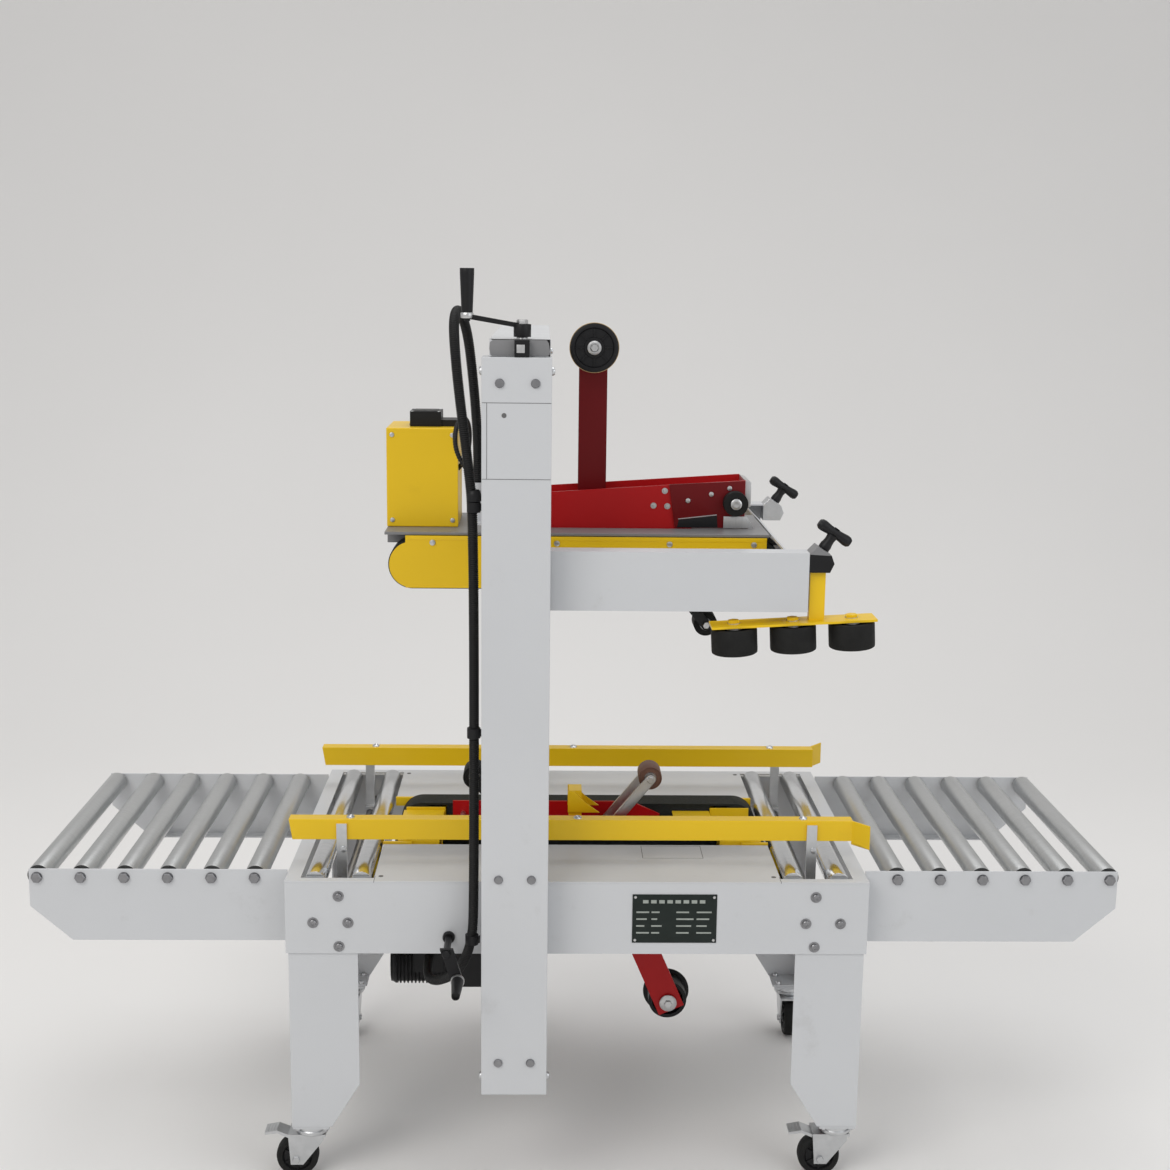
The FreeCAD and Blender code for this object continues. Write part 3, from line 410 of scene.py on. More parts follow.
for side in (-1, 1):
    for number in range(ROLLERS):
        for face in (-1, 1):
            spot = Vector((side * (FIRST_AXLE_X + ROLLER_PITCH * number), face * AXLE_END_Y, AXLE_Z))
            turn(heads, WASHER, spot, (0, face, 0), 28)
            hexagon(heads, spot + Vector((0, face * 0.0012, 0)), (0, face, 0), 0.0166, 0.0052)
    for x, z in ((0.411, 0.535), (0.455, 0.487), (0.395, 0.487), (0.411, 0.444)):
        for face in (-1, 1):
            spot = (side * x, face * PANEL_Y, z)
            turn(heads, PLATE_WASHER, spot, (0, face, 0), 28)
            turn(heads, SOCKET_HEAD, spot, (0, face, 0), 18)
for x0, x1, z in ((-0.135, -0.080, 0.258), (-0.135, -0.080, 0.588), (-0.135, -0.078, 1.416)):
    for x in (x0, x1):
        for face in (-1, 1):
            turn(heads, COLUMN_HEAD, (x, face * COLUMN_Y, z), (0, face, 0), 24)
piece("bolt_heads", heads, "frame", "zinc", bolt_steel)

# Deck rollers: bright plated tubes in the two cross slots of the deck, which carry the carton
# on and off the belts.
bright_steel = finish(
    "bright_roller", lambda blank: blank.cloud(22.0, (1, 10, 1)).mix((0.60, 0.61, 0.62), (0.82, 0.83, 0.84)),
    lambda blank: 0.14 + blank.cloud(26.0, (1, 30, 1)) * 0.10, metal=1.0)
dress("deck_rollers", bright_steel, rim=0.0006)

# Bottom drive: two rough-top belts that stand proud of the deck between yellow guards, driven
# by a finned black motor and gearbox slung under the frame.
belt_rubber = finish(
    "rough_top_belt",
    lambda blank: blank.cloud(240.0, detail=2.0).mix((0.008, 0.010, 0.009), (0.024, 0.028, 0.026)),
    lambda blank: 0.62 + blank.cloud(120.0) * 0.22, gloss=0.25,
    height=lambda blank: blank.cloud(420.0, detail=2.0), depth=0.0008)
yellow = paint("yellow_coat", (0.84, 0.545, 0.008), rough=0.36, grime=(0.70, 0.66, 0.6), gloss=0.35)
black_coat = paint("black_coat", (0.008, 0.008, 0.009), rough=0.42, grime=(3.0, 3.0, 3.0), coat=0.0, gloss=0.28)
dress("lower_belts", belt_rubber, rim=0.0006)
dress("lower_belt_covers", yellow, rim=0.0006)
dress("lower_gearmotor", black_coat, rim=0.0012)
caps = bmesh.new()
for x0, x1 in ((-0.352, -0.300), (0.304, 0.352)):
    for y0, y1 in ((-0.135, -0.128), (0.128, 0.135)):
        block(caps, (x0, y0, 0.548), (x1, y1, 0.5655))
for x0, x1 in ((-0.330, -0.252), (0.190, 0.262)):
    block(caps, (x0, -0.060, 0.5590), (x1, 0.060, 0.5625))
piece("belt_end_caps", caps, "frame", "yellow_paint", yellow)
MOTOR_Z, FINS, FIN_PITCH, FIRST_FIN_X = 0.285, 13, 0.0072, -0.334
FIN = [(0.0445, 0), (0.0490, 0.0004), (0.0490, 0.0022), (0.0445, 0.0026)]
FAN_COWL = [(0, 0), (0.030, 0), (0.046, 0.004), (0.0485, 0.008), (0.0485, 0.012), (0.044, 0.012)]
motor = bmesh.new()
for fin in range(FINS):
    turn(motor, FIN, (FIRST_FIN_X + fin * FIN_PITCH, 0, MOTOR_Z), (1, 0, 0), 48)
turn(motor, FAN_COWL, (-0.3498, 0, MOTOR_Z), (1, 0, 0), 48)
for y, z in ((-0.038, 0.257), (0.038, 0.257), (-0.038, 0.325), (0.038, 0.325)):
    hexagon(motor, (-0.1652, y, z), (1, 0, 0), 0.010, 0.004)
block(motor, (-0.3010, -0.1045, 0.2990), (-0.2440, -0.1000, 0.3560), rim=0.002)
piece("motor_fins", motor, "frame", "black_paint", black_coat)

# Tape heads: red sheet steel side plates held apart by spacer rods, a guarded cutter, and two
# sprung arms whose rubber-covered rollers press the tape down at the front and the back.
red = paint("red_coat", (0.46, 0.006, 0.008), rough=0.36, grime=(0.6, 0.6, 0.6), coat=0.0, gloss=0.25)
# A darker copy of the red coat: painted shade for the upper head's post and wing plate, which stand in shadow.
shaded_red = paint("red_coat_painted_shade", (0.15, 0.003, 0.005), rough=0.38, grime=(0.7, 0.7, 0.7), coat=0.0, gloss=0.22)
silver = finish(
    "brushed_silver", lambda blank: blank.cloud(60.0, (8, 1, 1)).mix((0.52, 0.52, 0.52), (0.66, 0.66, 0.66)),
    lambda blank: 0.30 + blank.cloud(90.0) * 0.12, metal=1.0)
brown_rubber = finish(
    "brown_rubber", lambda blank: blank.cloud(70.0).mix((0.12, 0.055, 0.035), (0.20, 0.095, 0.06)),
    lambda blank: 0.5 + blank.cloud(90.0) * 0.2)
BETWEEN_PLATES = 0.0475
dress("lower_tape_head", red, silver, yellow, black_coat, rim=0.0006, zones=[
    (1, (-0.25, -BETWEEN_PLATES, 0.40), (0.17, BETWEEN_PLATES, 0.60)),
    (2, (-0.013, -0.021, 0.555), (0.013, 0.021, 0.63)),
    (1, (0.17, -0.037, 0.194), (0.196, -0.0302, 0.218)),
    (1, (0.17, -0.0238, 0.19), (0.2, 0.04, 0.222)),
])
dress("upper_tape_head", red, silver, yellow, tyre_rubber, shaded_red, rim=0.0006, zones=[
    (1, (-0.12, -BETWEEN_PLATES, 1.0), (0.31, BETWEEN_PLATES, 1.235)),
    (2, (0.084, -0.021, 0.984), (0.110, 0.021, 1.031)),
    (3, (0.255, -0.085, 1.155), (0.310, -0.0522, 1.210)),
    # The post behind the upper drum, in the red painted darker as painted shade.
    (4, (-0.005, 0.0235, 1.139), (0.055, 0.031, 1.495)),
    (1, (0.015, -0.036, 1.448), (0.035, 0.0235, 1.468)),
])


def slab(built, outline, low, high, mat=0, rim=0.0006):
    """A plate: an outline in the xz plane, given thickness along y."""
    near = [built.verts.new((x, low, z)) for x, z in outline]
    far = [built.verts.new((x, high, z)) for x, z in outline]
    faces = [built.faces.new(near), built.faces.new(list(reversed(far)))]
    for number in range(len(outline)):
        after = (number + 1) % len(outline)
        faces.append(built.faces.new((near[number], far[number], far[after], near[after])))
    bevelled(built, faces, rim, mat)


LINK_ROUND, LINK_Y, LINK_HALF = 0.0092, 0.0315, 0.0025
TREAD_OUTLINE = [
    (0.0052, -0.0248, 1), (0.0105, -0.0248, 1), (0.0118, -0.0225, 2), (0.0200, -0.0225, 2),
    (0.0212, -0.0248, 2), (0.0220, -0.0235, 2), (0.0220, 0.0235, 2), (0.0212, 0.0248, 2),
    (0.0200, 0.0225, 2), (0.0118, 0.0225, 1), (0.0105, 0.0248, 1), (0.0052, 0.0248, 1),
]


def roller_arm(node, body, pivot, axle, link_finish, tread_finish):
    """Two flat round-ended links on a cross pin, with a turned roller between them."""
    lean = math.atan2(axle[1] - pivot[1], axle[0] - pivot[0])
    reach = math.hypot(axle[0] - pivot[0], axle[1] - pivot[1])
    made = bmesh.new()
    for side in (-1, 1):
        link = []
        for middle, start in ((0.0, 90), (reach, -90)):
            for step in range(9):
                angle = math.radians(start + step * 22.5)
                along, aside = middle + LINK_ROUND * math.cos(angle), LINK_ROUND * math.sin(angle)
                link.append((pivot[0] + along * math.cos(lean) - aside * math.sin(lean),
                             pivot[1] + along * math.sin(lean) + aside * math.cos(lean)))
        slab(made, link, side * LINK_Y - LINK_HALF, side * LINK_Y + LINK_HALF, 0, 0.0005)
        hexagon(made, (pivot[0], side * 0.0400, pivot[1]), (0, side, 0), 0.0135, 0.0056, 1)
        hexagon(made, (axle[0], side * 0.0340, axle[1]), (0, side, 0), 0.0115, 0.0045, 1)
    for (x, z), radius, half, steps in ((pivot, 0.007, 0.040, 24), (axle, 0.005, 0.034, 20)):
        pin = [(0, -half), (radius, -half), (radius, half), (0, half)]
        turn(made, pin, (x, 0, z), (0, 1, 0), steps, 1)
    turn(made, TREAD_OUTLINE, (axle[0], 0, axle[1]), (0, 1, 0), 48)
    piece(node + "_rolling", made, body, "arm_black", link_finish, silver, tread_finish, stands_for=(node,))


roller_arm("lower_front_arm", "arm_lower_front", (0.053, 0.546), (0.141, 0.654), silver, brown_rubber)
roller_arm("lower_rear_arm", "arm_lower_rear", (-0.102, 0.546), (-0.190, 0.654), black_coat, tyre_rubber)
roller_arm("upper_front_arm", "arm_upper_front", (0.150, 1.060), (0.238, 0.952), black_coat, tyre_rubber)
roller_arm("upper_rear_arm", "arm_upper_rear", (-0.005, 1.060), (-0.093, 0.952), black_coat, tyre_rubber)

# Tape drums: a black moulded core with one wide flange, on a spindle with a silver hub nut. A
# spent roll's card core is still pushed on the upper one.
card = finish("card_core", lambda blank: blank.cloud(30.0).mix((0.40, 0.27, 0.12), (0.50, 0.36, 0.18)), 0.8)
UPPER_SPINDLE, LOWER_SPINDLE, DRUM_Y, DRUM_SPOKES = (0.025, 1.458), (0.183, 0.206), 0.028, 8
DRUM_OUTLINE = [
    (0.0081, 0.0005, 0), (0.018, 0.0005, 0), (0.019, 0.0035, 0), (0.034, 0.0035, 0), (0.036, 0.0005, 0),
    (0.0440, 0.0005, 1), (0.0449, 0.0012, 1), (0.0449, 0.0030, 0), (0.0440, 0.0038, 0),
    (0.0368, 0.0040, 1), (0.0368, 0.0470, 0), (0.030, 0.0475, 0), (0.030, 0.0100, 0),
    (0.0081, 0.0100, 0), (0.0081, 0.0005, 0),
]
for node, body, (x, z), face, rim_finish in (
        ("upper_tape_hub", "hub_upper", UPPER_SPINDLE, -1, card),
        ("lower_tape_hub", "hub_lower", LOWER_SPINDLE, 1, black_plastic)):
    y = face * DRUM_Y
    y0, y1 = (y - 0.0038, y - 0.0008) if face > 0 else (y + 0.0008, y + 0.0038)
    drum = bmesh.new()
    turn(drum, DRUM_OUTLINE, (x, y, z), (0, -face, 0), 64)
    for spoke in range(DRUM_SPOKES):
        aim = Matrix.Rotation(spoke * math.pi / 4, 3, (0, 1, 0))
        block(drum, (-0.0012, y0, 0.0185), (0.0012, y1, 0.0340), 0, 0.0003, aim, (x, 0, z))
    piece(node + "_drum", drum, body, "hub_plastic", black_plastic, rim_finish, stands_for=(node,))
LOWER_NUT = [(0, 0), (0.0165, 0), (0.0165, 0.0025), (0.0135, 0.0045), (0, 0.0045)]
UPPER_NUT = [(0, 0), (0.0125, 0), (0.0125, 0.0020), (0.0100, 0.0040), (0, 0.0040)]
for name, body, (x, z), disc, disc_y, nut_y, across in (
        ("lower_hub_nut", "frame", LOWER_SPINDLE, LOWER_NUT, -0.0330, -0.0372, 0.014),
        ("upper_hub_nut", "head", UPPER_SPINDLE, UPPER_NUT, -0.0300, -0.0335, 0.013)):
    nut = bmesh.new()
    turn(nut, disc, (x, disc_y, z), (0, -1, 0), 40)
    hexagon(nut, (x, nut_y, z), (0, -1, 0), across, 0.005)
    piece(name, nut, body, "zinc", silver)

# Guide rails: yellow rectangular tubes with a flared infeed end, on plated posts that pass
# through the deck slots to the nuts of the two cross screws.
RAIL_SCREW = [(0.0075, 0), (0.0068, 0.0022), (0.0040, 0.0036), (0.0026, 0.0016), (0, 0.0016)]
POST_SCREW = [(0.0060, 0), (0.0055, 0.0020), (0.0028, 0.0030), (0, 0.0030)]
for node, body, side in (("rail_front", "rail_near", -1), ("rail_rear", "rail_far", 1)):
    low, high = sorted((side * 0.270, side * 0.205))
    dress(node, yellow, zinc, rim=0.0009, zones=[(1, (-0.44, low, 0.48), (0.44, high, 0.6055))])
    trim = bmesh.new()
    for x in (-0.40, 0.0, 0.40):
        turn(trim, RAIL_SCREW, (x, side * 0.224, 0.643), steps=24)
    for x in (-0.411, 0.418):
        turn(trim, POST_SCREW, (x, side * 0.242, 0.590), (0, side, 0), 20)
    piece(node + "_screws", trim, body, "zinc", zinc)
rail_thread = finish(
    "rolled_thread",
    lambda blank: blank.wave(60.0, (0, 1, 0), (0, 0, math.pi / 2)).mix((0.20, 0.20, 0.20), (0.60, 0.60, 0.60)),
    0.32, metal=1.0)
dress("rail_screw_left", rail_thread, rim=0.0005)
dress("rail_screw_right", rail_thread, rim=0.0005)

# Side crank: a flat black arm on a shaft through the near panel, with a loose tapered grip and
# a bright collar, which winds both rails in and out.
SHAFT_X, SHAFT_Z = -0.222, 0.462
GRIP_COLLAR = [(0.0051, 0), (0.0112, 0), (0.0116, 0.001), (0.0116, 0.006), (0.0112, 0.007), (0.0051, 0.007)]
SHAFT_BUSH = [(0.0062, 0), (0.0105, 0), (0.0105, 0.006), (0.0090, 0.009), (0.0062, 0.009)]
dress("side_crank", black_coat, rim=0.0009)
collar = bmesh.new()
turn(collar, GRIP_COLLAR, (-0.203, -0.4092, 0.416), (0, 1, 0), 32)
hexagon(collar, (SHAFT_X, -0.4000, SHAFT_Z), (0, -1, 0), 0.013, 0.006, 1)
turn(collar, SHAFT_BUSH, (SHAFT_X, -PANEL_Y - PROUD, SHAFT_Z), (0, -1, 0), 32, 1)
piece("side_crank_collar", collar, "crank_low", "zinc", silver, black_coat)

# Columns: lipped channels bolted to the panels, each with a carriage running in its open side.
# Small joint lines mark the cover strips near the top.
STRIP_LOW, STRIP_TOP = 1.2625, 1.3845
PLUG = [(0, 0), (0.0040, 0), (0.0040, 0.0003), (0, 0.0003)]
SIDE_SCREW = [(0.0070, 0), (0.0070, 0.002), (0.0055, 0.0045), (0.0028, 0.0050), (0, 0.0050)]
dress("columns", white, rim=0.0012)
lines = bmesh.new()
for face in (-1, 1):
    y0, y1 = sorted((face * 0.3848, face * 0.3853))
    for z in (STRIP_TOP, STRIP_LOW):
        block(lines, (-0.1632, y0, z), (-0.0528, y1, z + 0.0009), rim=0)
    block(lines, (-0.1560, y0, STRIP_LOW), (-0.1551, y1, STRIP_TOP), rim=0)
    turn(lines, PLUG, (-0.128, face * COLUMN_Y, 1.365), (0, face, 0), 24)
piece("column_lines", lines, "frame", "cream_paint", shadow)
tabs = bmesh.new()
for z in (1.434, 0.220):
    for x, way in ((-0.164, -1), (-0.052, 1)):
        for y in (-0.355, 0.355):
            turn(tabs, SIDE_SCREW, (x, y, z), (way, 0, 0), 20)
piece("column_side_screws", tabs, "frame", "zinc", zinc)

# Lift gear: a hollow white cross beam with grey end plates, over the chain that ties the two
# lift screws together, and the crank with its tall grip on the near one.
lift_thread = finish(
    "lift_thread",
    lambda blank: blank.wave(50.0, (0, 0, 1), (0, math.pi / 2, 0)).mix((0.16, 0.16, 0.16), (0.55, 0.55, 0.55)),
    0.35, metal=1.0)
dress("top_crossbeam", white, black_coat, zones=[(1, (-0.113, -0.390, 1.455), (-0.087, -0.3719, 1.487))])
dress("leadscrew_front", lift_thread, rim=0.0004)
dress("leadscrew_rear", lift_thread, rim=0.0004)
dress("top_crank", black_coat, rim=0.0009)
CRANK_COLLAR = [(0.0052, 0), (0.0095, 0), (0.0105, 0.0015), (0.0105, 0.0075), (0.0095, 0.009), (0.0052, 0.009)]
crank_trim = bmesh.new()
turn(crank_trim, CRANK_COLLAR, (-0.188, -0.352, 1.5165), steps=32)
hexagon(crank_trim, (-0.100, -0.352, 1.5085), (0, 0, 1), 0.016, 0.007)
piece("top_crank_collar", crank_trim, "screw_front", "zinc", silver)
grey = paint("grey_coat", (0.21, 0.21, 0.215), rough=0.42)
END_PLATE = [
    (-0.150, 1.4600), (-0.147, 1.4585), (-0.060, 1.4585), (-0.0565, 1.4605), (-0.0555, 1.4660),
    (-0.0575, 1.4790), (-0.0610, 1.4838), (-0.146, 1.4838), (-0.151, 1.4800), (-0.152, 1.4700),
]
BEAM_SCREW = [(0.0060, 0), (0.0055, 0.0018), (0.0025, 0.0026), (0, 0.0026)]
ends = bmesh.new()
for y0, y1 in ((-0.3732, -0.3720), (0.3720, 0.3732)):
    slab(ends, END_PLATE, y0, y1, 1, 0.0004)
block(ends, (-0.1085, -0.3872, 1.4640), (-0.0955, -0.3858, 1.4770), rim=0.0005)
for y in (-0.30, -0.10, 0.10, 0.30):
    turn(ends, BEAM_SCREW, (-0.104, y, 1.485), steps=20)
piece("beam_plugs", ends, "frame", "zinc", silver, grey)

# Lifting head: white side beams with a sloped front plate, hung on the carriages, round a grey
# deck with the upper belts and their round-ended yellow covers.
COVER_SCREW = [(0.0055, 0), (0.0050, 0.0018), (0.0022, 0.0026), (0, 0.0026)]
dress("head_frame", white, rim=0.0009)
dress("head_deck", grey, black_coat, zinc, rim=0.0006, zones=[
    (1, (0.372, -0.33, 1.10), (0.43, -0.27, 1.129)), (2, (0.372, 0.27, 1.09), (0.43, 0.33, 1.16)),
])
dress("head_belts", belt_rubber, rim=0.0006)
dress("head_belt_covers", yellow, rim=0.0009)
covers = bmesh.new()
for side in (-1, 1):
    y0, y1 = sorted((side * 0.1268, side * 0.1276))
    for x in (-0.26, -0.04, 0.16, 0.31):
        turn(covers, COVER_SCREW, (x, side * 0.127, 1.118), (0, side, 0), 20, 1)
    for z0, z1 in ((1.1225, 1.1300), (1.0365, 1.0405)):
        block(covers, (-0.300, y0, z0), (0.333, y1, z1), 0, 0.0003)
piece("cover_rims", covers, "head", "yellow_paint", yellow, zinc)

# Head drive: a folded yellow cover over the upper motor, closed with screws, and a black
# moulded terminal box on its top, with a screwed lid.
LID_SCREW = [(0.0024, 0), (0.0022, 0.0006), (0, 0.0008)]
SHELL_SCREW = [(0.0045, 0), (0.0040, 0.0018), (0.0020, 0.0024), (0, 0.0024)]
VENTS, FIRST_VENT_Z, VENT_PITCH, VENT_HIGH = 7, 1.20, 0.012, 0.005
dress("motor_cover", yellow, rim=0.0014)
dress("head_gearmotor", black_coat, rim=0.0012)
low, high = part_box("motor_cover")
shell = bmesh.new()
for x in (low.x + 0.010, high.x - 0.010):
    for z in (low.z + 0.012, high.z - 0.012):
        turn(shell, SHELL_SCREW, (x, low.y, z), (0, -1, 0), 18)
        turn(shell, SHELL_SCREW, (x, high.y, z), (0, 1, 0), 18)
for vent in range(VENTS):
    z0 = FIRST_VENT_Z + vent * VENT_PITCH
    z1 = z0 + VENT_HIGH
    block(shell, (low.x - 0.0004, low.y + 0.035, z0), (low.x + 0.001, high.y - 0.035, z1), 1, 0.0001)
    block(shell, (low.x + 0.030, high.y - 0.001, z0), (high.x - 0.030, high.y + 0.0004, z1), 1, 0.0001)
piece("motor_cover_trim", shell, "head", "zinc", zinc, shadow)
switch = bmesh.new()
block(switch, (-0.3068, -0.0308, 1.3170), (-0.2492, 0.0348, 1.3192), 0, 0.0003)
block(switch, (-0.2990, -0.0230, 1.3405), (-0.2570, 0.0270, 1.3418), 0, 0.0003)
for x in (-0.3020, -0.2540):
    for y in (-0.0260, 0.0300):
        turn(switch, LID_SCREW, (x, y, 1.3410), steps=14, mat=1)
piece("switch_lid", switch, "head", "black_paint", black_plastic, zinc)

# Tape head fittings: on the upper head a wing plate with screws in red painted darker as shade, a black sheet
# of painted shade in the gap under it, bright end plates and the guide roller's hub. On the lower head a red
# stiffener and the yellow cutter guard's cheeks.
PLATE_SCREW = [(0.0048, 0), (0.0042, 0.0018), (0.0020, 0.0024), (0, 0.0024)]
PIVOT_HEAD = [(0.0058, 0), (0.0054, 0.0012), (0.0032, 0.0012), (0.0026, 0.0030), (0, 0.0030)]
GUIDE_HUB = [(0.0095, 0), (0.0100, 0.0010), (0.0100, 0.0030), (0.0080, 0.0040), (0.0040, 0.0040), (0, 0.0030)]
wing = bmesh.new()
for outline, y0, y1, number, rim in (
        # The wing plate, in the red painted darker as painted shade.
        ([(0.174, 1.1375), (0.262, 1.1375), (0.262, 1.1600), (0.300, 1.1600), (0.300, 1.2235), (0.163, 1.2160)],
         -0.0560, -0.0524, 0, 0.0006),
        # A black sheet of painted shade in the gap between the wing and the deck.
        ([(0.178, 1.1380), (0.252, 1.1380), (0.250, 1.1600), (0.181, 1.1520)], -0.0564, -0.0552, 2, 0.0002),
        ([(0.180, 1.1525), (0.250, 1.1605), (0.250, 1.1622), (0.180, 1.1542)], -0.0566, -0.0552, 1, 0.0002)):
    slab(wing, outline, y0, y1, number, rim)
for x, z in ((0.197, 1.187), (0.239, 1.199), (0.272, 1.210), (0.289, 1.167)):
    turn(wing, PLATE_SCREW, (x, -0.0558, z), (0, -1, 0), 18, 1)
for x, z in ((0.135, 1.177), (0.155, 1.204), (0.160, 1.176)):
    turn(wing, PIVOT_HEAD, (x, -0.0520, z), (0, -1, 0), 18, 1)
slab(wing, [(0.262, 1.1375), (0.318, 1.1375), (0.304, 1.1590), (0.262, 1.1590)], -0.0585, -0.0550, 1, 0.0005)
slab(wing, [(0.301, 1.172), (0.312, 1.176), (0.312, 1.220), (0.301, 1.2235)], -0.050, 0.050, 1, 0.0005)
turn(wing, GUIDE_HUB, (0.282, -0.0800, 1.184), (0, -1, 0), 32, 1)
piece("upper_wing_plate", wing, "head", "red_paint", shaded_red, silver, black_coat)
STIFFENER = [
    (-0.240, 0.5625), (0.100, 0.5625), (0.100, 0.5860), (0.040, 0.5905), (-0.180, 0.5905), (-0.240, 0.580)]
GUARD_CHEEK = [(-0.014, 0.586), (0.046, 0.586), (0.020, 0.604), (-0.002, 0.627), (-0.014, 0.627)]
fittings = bmesh.new()
slab(fittings, STIFFENER, -0.0560, -0.0524)
for y0, y1 in ((-0.0235, -0.0205), (0.0205, 0.0235)):
    slab(fittings, GUARD_CHEEK, y0, y1, 1, 0.0005)
for x in (-0.200, -0.120, -0.020, 0.060):
    turn(fittings, PLATE_SCREW, (x, -0.0560, 0.574), (0, -1, 0), 18, 2)
piece("lower_head_fittings", fittings, "frame", "red_paint", red, yellow, silver)

# Press rollers: a yellow plate on a square post, carrying three fat black rubber rollers that
# hold the carton's top flaps shut, locked by a T handle in a grey clamp.
dress("press_bracket", yellow, rim=0.0008)
PRESS_MIDDLE, PRESS_PITCH, PRESS_LEAN = Vector((0.357, -0.3, 1.018)), 0.0995, math.radians(-3.34)
plate_up = Vector((math.sin(PRESS_LEAN), 0, math.cos(PRESS_LEAN)))
plate_along = Vector((math.cos(PRESS_LEAN), 0, -math.sin(PRESS_LEAN)))
PRESS_OUTLINE = [
    (0.0061, -0.0508, 1), (0.0130, -0.0508, 1), (0.0140, -0.0470, 0), (0.0340, -0.0470, 0),
    (0.0360, -0.0508, 0), (0.0384, -0.0492, 0), (0.0390, -0.0460, 0), (0.0390, -0.0110, 0),
    (0.0384, -0.0078, 0), (0.0360, -0.0062, 0), (0.0340, -0.0095, 0), (0.0140, -0.0095, 1),
    (0.0130, -0.0062, 1), (0.0061, -0.0062, 1), (0.0061, -0.0508, 1),
]
pins = bmesh.new()
for number in (1, 2, 3):
    top = PRESS_MIDDLE + plate_along * (number - 2) * PRESS_PITCH
    tread = bmesh.new()
    turn(tread, PRESS_OUTLINE, top, plate_up, 72)
    piece(f"press_tread_{number}", tread, f"press_wheel_{number}", "roller_rubber", tyre_rubber, silver,
          stands_for=(f"press_roller_{number}",))
    turn(pins, [(0.0110, 0.0), (0.0110, 0.0012), (0, 0.0012)], top, plate_up, 28)
    hexagon(pins, top + plate_up * 0.0010, plate_up, 0.0185, 0.0052, 1)
piece("press_nuts", pins, "press", "zinc", silver, yellow)

# T handles: black moulded knobs on studs, one on each front clamp, standing square to the
# sloped clamp tops.
CLAMP_SLOPE, BAR_UP = math.radians(33.5), 0.0330
knob_up = Vector((math.sin(CLAMP_SLOPE), 0, math.cos(CLAMP_SLOPE)))
knob_across = Vector((math.cos(CLAMP_SLOPE), 0, -math.sin(CLAMP_SLOPE)))
STEM_OUTLINE = [
    (0, 0.0006), (0.0094, 0.0006), (0.0099, 0.0020), (0.0099, 0.0085), (0.0088, 0.0125),
    (0.0082, 0.0190), (0.0094, 0.0280), (0, 0.0300),
]
BAR_OUTLINE = [
    (0, -0.0330), (0.0062, -0.0318), (0.0090, -0.0280), (0.0096, -0.0225), (0.0082, -0.0110),
    (0.0078, 0.0), (0.0082, 0.0110), (0.0096, 0.0225), (0.0090, 0.0280), (0.0062, 0.0318), (0, 0.0330),
]
CAP_OUTLINE = [(0, 0.0400), (0.0044, 0.0410), (0.0050, 0.0418), (0, 0.0418)]
for node, body, y in (("knob_front", "tee_front", -0.3), ("knob_rear", "tee_rear", 0.3)):
    foot = Vector((0.404, y, 1.140))
    handle = bmesh.new()
    turn(handle, STEM_OUTLINE, foot, knob_up, 32)
    turn(handle, BAR_OUTLINE, foot + knob_up * BAR_UP, knob_across, 28)
    turn(handle, CAP_OUTLINE, foot, knob_up, 20)
    piece(node + "_moulding", handle, body, "knob_plastic", black_plastic, stands_for=(node,))

# Nameplate: a black enamelled plate riveted to the near panel, with plain etched lines where a
# maker's table would be.
enamel = finish(
    "plate_enamel", lambda blank: blank.cloud(40.0).mix((0.010, 0.014, 0.012), (0.018, 0.026, 0.023)),
    0.35, gloss=0.2)
etched = finish(
    "plate_etching", lambda blank: blank.cloud(50.0).mix((0.30, 0.33, 0.30), (0.42, 0.45, 0.42)),
    0.4, metal=0.6)
PLATE_FACE, ETCH_FACE, ETCH_BACK = -0.3262, -0.3265, -0.3260
MARKS, MARK_PITCH, ROWS, ROW_PITCH = 8, 0.0140, 4, 0.0125
plate = bmesh.new()
block(plate, (0.094, PLATE_FACE, 0.452), (0.240, -PANEL_Y, 0.540), 0, 0.0004)
for mark in range(MARKS):
    x = mark * MARK_PITCH
    block(plate, (0.112 + x, ETCH_FACE, 0.5240), (0.1215 + x, ETCH_BACK, 0.5300), 1, 0.0001)
for row in range(ROWS):
    z = 0.5065 - row * ROW_PITCH
    for column, (start, wide) in enumerate(((0.101, 0.022), (0.127, 0.018), (0.170, 0.030), (0.205, 0.026))):
        end = start + wide - 0.004 * ((row + column) % 3)
        block(plate, (start, ETCH_FACE, z), (end, ETCH_BACK, z + 0.0028), 1, 0.0001)
for x in (0.099, 0.235):
    for z in (0.457, 0.535):
        turn(plate, [(0.0026, 0), (0.0022, 0.0010), (0, 0.0014)], (x, PLATE_FACE, z), (0, -1, 0), 16, 2)
piece("nameplate", plate, "frame", "black_paint", enamel, etched, silver)

# Conduit: ribbed black plastic tube from the lower motor, under the near panel, up the column
# in three clips, over in an arch and down into the gland on the lifting head.
CONDUIT_ROUTE = [
    (-0.272, -0.104, 0.328), (-0.272, -0.162, 0.328), (-0.263, -0.225, 0.339), (-0.240, -0.285, 0.363),
    (-0.205, -0.336, 0.402), (-0.181, -0.357, 0.462), (-0.177, -0.357, 0.540), (-0.177, -0.357, 1.190),
    (-0.187, -0.357, 1.290), (-0.200, -0.357, 1.390), (-0.208, -0.353, 1.470), (-0.211, -0.322, 1.518),
    (-0.205, -0.275, 1.532), (-0.192, -0.244, 1.492), (-0.183, -0.236, 1.410), (-0.177, -0.235, 1.335),
    (-0.175, -0.238, 1.285), (-0.175, -0.238, 1.240),
]
RIB_PITCH, TOP_CLIP_Z, CONDUIT_Y = 0.0034, 1.214, -0.357
RIB_RADII = (0.0072, 0.0083, 0.0085, 0.0083)


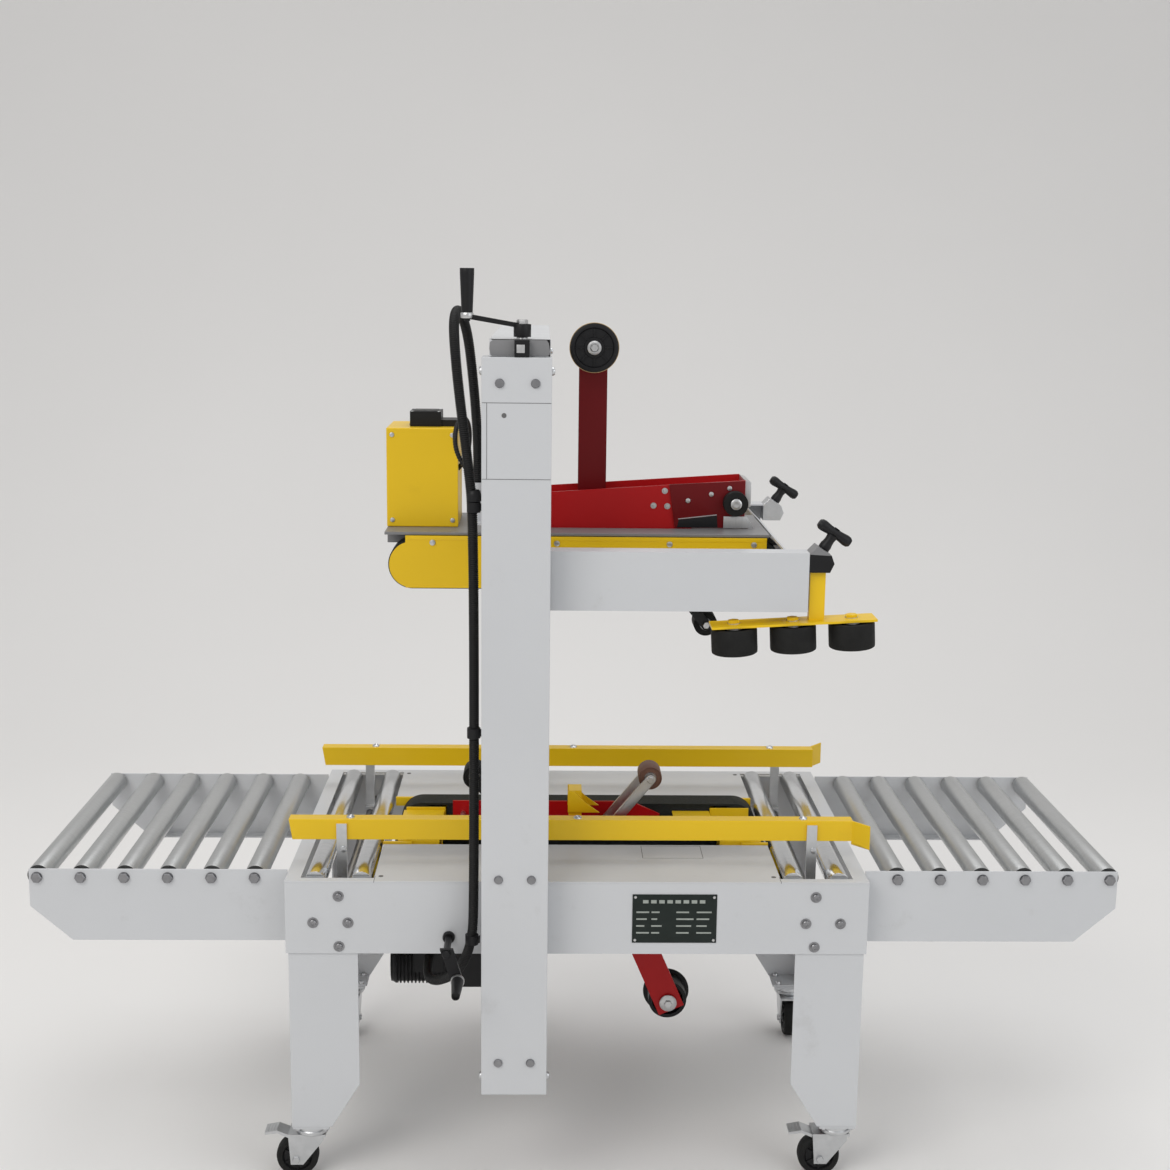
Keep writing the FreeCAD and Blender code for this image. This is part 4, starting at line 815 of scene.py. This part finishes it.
def smooth_line(name, points, resolution):
    """The points of a smooth curve held by these control points."""
    curve = bpy.data.curves.new(name, "CURVE")
    curve.dimensions = "3D"
    spline = curve.splines.new("NURBS")
    spline.points.add(len(points) - 1)
    for target, point in zip(spline.points, points):
        target.co = (*point, 1)
    spline.order_u = 3
    spline.use_endpoint_u = True
    spline.resolution_u = resolution
    holder = bpy.data.objects.new(name, curve)
    bpy.context.scene.collection.objects.link(holder)
    line = bpy.data.meshes.new_from_object(holder)
    found = [vertex.co.copy() for vertex in line.vertices]
    bpy.data.objects.remove(holder)
    bpy.data.curves.remove(curve)
    return found


def spaced(points, gap):
    """Points evenly spaced along a line of points."""
    found, left = [points[0]], gap
    for first, second in zip(points, points[1:]):
        run = (second - first).length
        while run >= left:
            first = first.lerp(second, left / run)
            run = (second - first).length
            found.append(first)
            left = gap
        left -= run
    return found


def sweep(built, points, radii, sides):
    """A tube whose radius follows a repeating list, swept without twist along the points."""
    rings, lift = [], Vector((1, 0, 0))
    for number, point in enumerate(points):
        way = (points[min(number + 1, len(points) - 1)] - points[max(number - 1, 0)]).normalized()
        lift = (lift - way * lift.dot(way)).normalized()
        across = way.cross(lift)
        radius = radii[number % len(radii)]
        rings.append([built.verts.new(point + (lift * math.cos(a) + across * math.sin(a)) * radius)
                      for a in (2 * math.pi * side / sides for side in range(sides))])
    for low_ring, high_ring in zip(rings, rings[1:]):
        for side in range(sides):
            after = (side + 1) % sides
            built.faces.new((low_ring[side], low_ring[after], high_ring[after], high_ring[side]))
    built.faces.new(list(reversed(rings[0])))
    built.faces.new(rings[-1])


conduit_plastic = finish(
    "conduit_plastic", lambda blank: blank.cloud(40.0).mix((0.004, 0.004, 0.004), (0.010, 0.010, 0.010)),
    lambda blank: 0.42 + blank.cloud(80.0) * 0.16, gloss=0.3)
ribs = spaced(smooth_line("conduit_line", CONDUIT_ROUTE, 40), RIB_PITCH / len(RIB_RADII))
split = next(number for number, point in enumerate(ribs) if point.z > TOP_CLIP_Z and number > len(ribs) // 3)
split -= split % len(RIB_RADII)
fixed = bmesh.new()
sweep(fixed, ribs[:split + 1], RIB_RADII, 16)
piece("conduit_lower", fixed, "frame", "conduit_plastic", conduit_plastic, stands_for=("conduit",), crease=70)
arch = bmesh.new()
sweep(arch, ribs[split:], RIB_RADII, 16)
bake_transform(piece("conduit_arch", arch, None, "conduit_plastic", conduit_plastic, crease=70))
CLIP_RING = [(0.0086, 0), (0.0112, 0.0006), (0.0112, 0.0174), (0.0086, 0.018)]
TOP_GLAND = [(0.0086, 0), (0.0120, 0), (0.0120, 0.010), (0.0105, 0.016), (0.0086, 0.018)]
clips = bmesh.new()
for x, z, foot_x in ((-0.181, 0.462, -0.167), (-0.1775, 0.826, -0.1635), (-0.1775, 1.205, -0.1635)):
    turn(clips, CLIP_RING, (x, CONDUIT_Y, z), steps=32)
    block(clips, (x + 0.0095, -0.360, z + 0.003), (foot_x, -0.354, z + 0.015), 0, 0.0008)
turn(clips, TOP_GLAND, (-0.177, CONDUIT_Y, 1.224), steps=32)
piece("conduit_clips", clips, "frame", "conduit_plastic", black_plastic)

# Motor lead: a thin lead in spiral wrap that loops from the gland's bracket to the upper motor
# cover and travels with the head.
LEAD_ROUTE = [
    (-0.182, -0.226, 1.238), (-0.196, -0.228, 1.262), (-0.214, -0.222, 1.290), (-0.216, -0.200, 1.325),
    (-0.206, -0.160, 1.345), (-0.196, -0.115, 1.330), (-0.196, -0.075, 1.290), (-0.205, -0.052, 1.255),
    (-0.219, -0.040, 1.240),
]
WRAP_STEP, WRAP_RADII = 0.0012, (0.0036, 0.0044, 0.0044, 0.0036)
lead = bmesh.new()
sweep(lead, spaced(smooth_line("lead_line", LEAD_ROUTE, 24), WRAP_STEP), WRAP_RADII, 12)
piece("motor_lead", lead, "head", "conduit_plastic", conduit_plastic, crease=70)
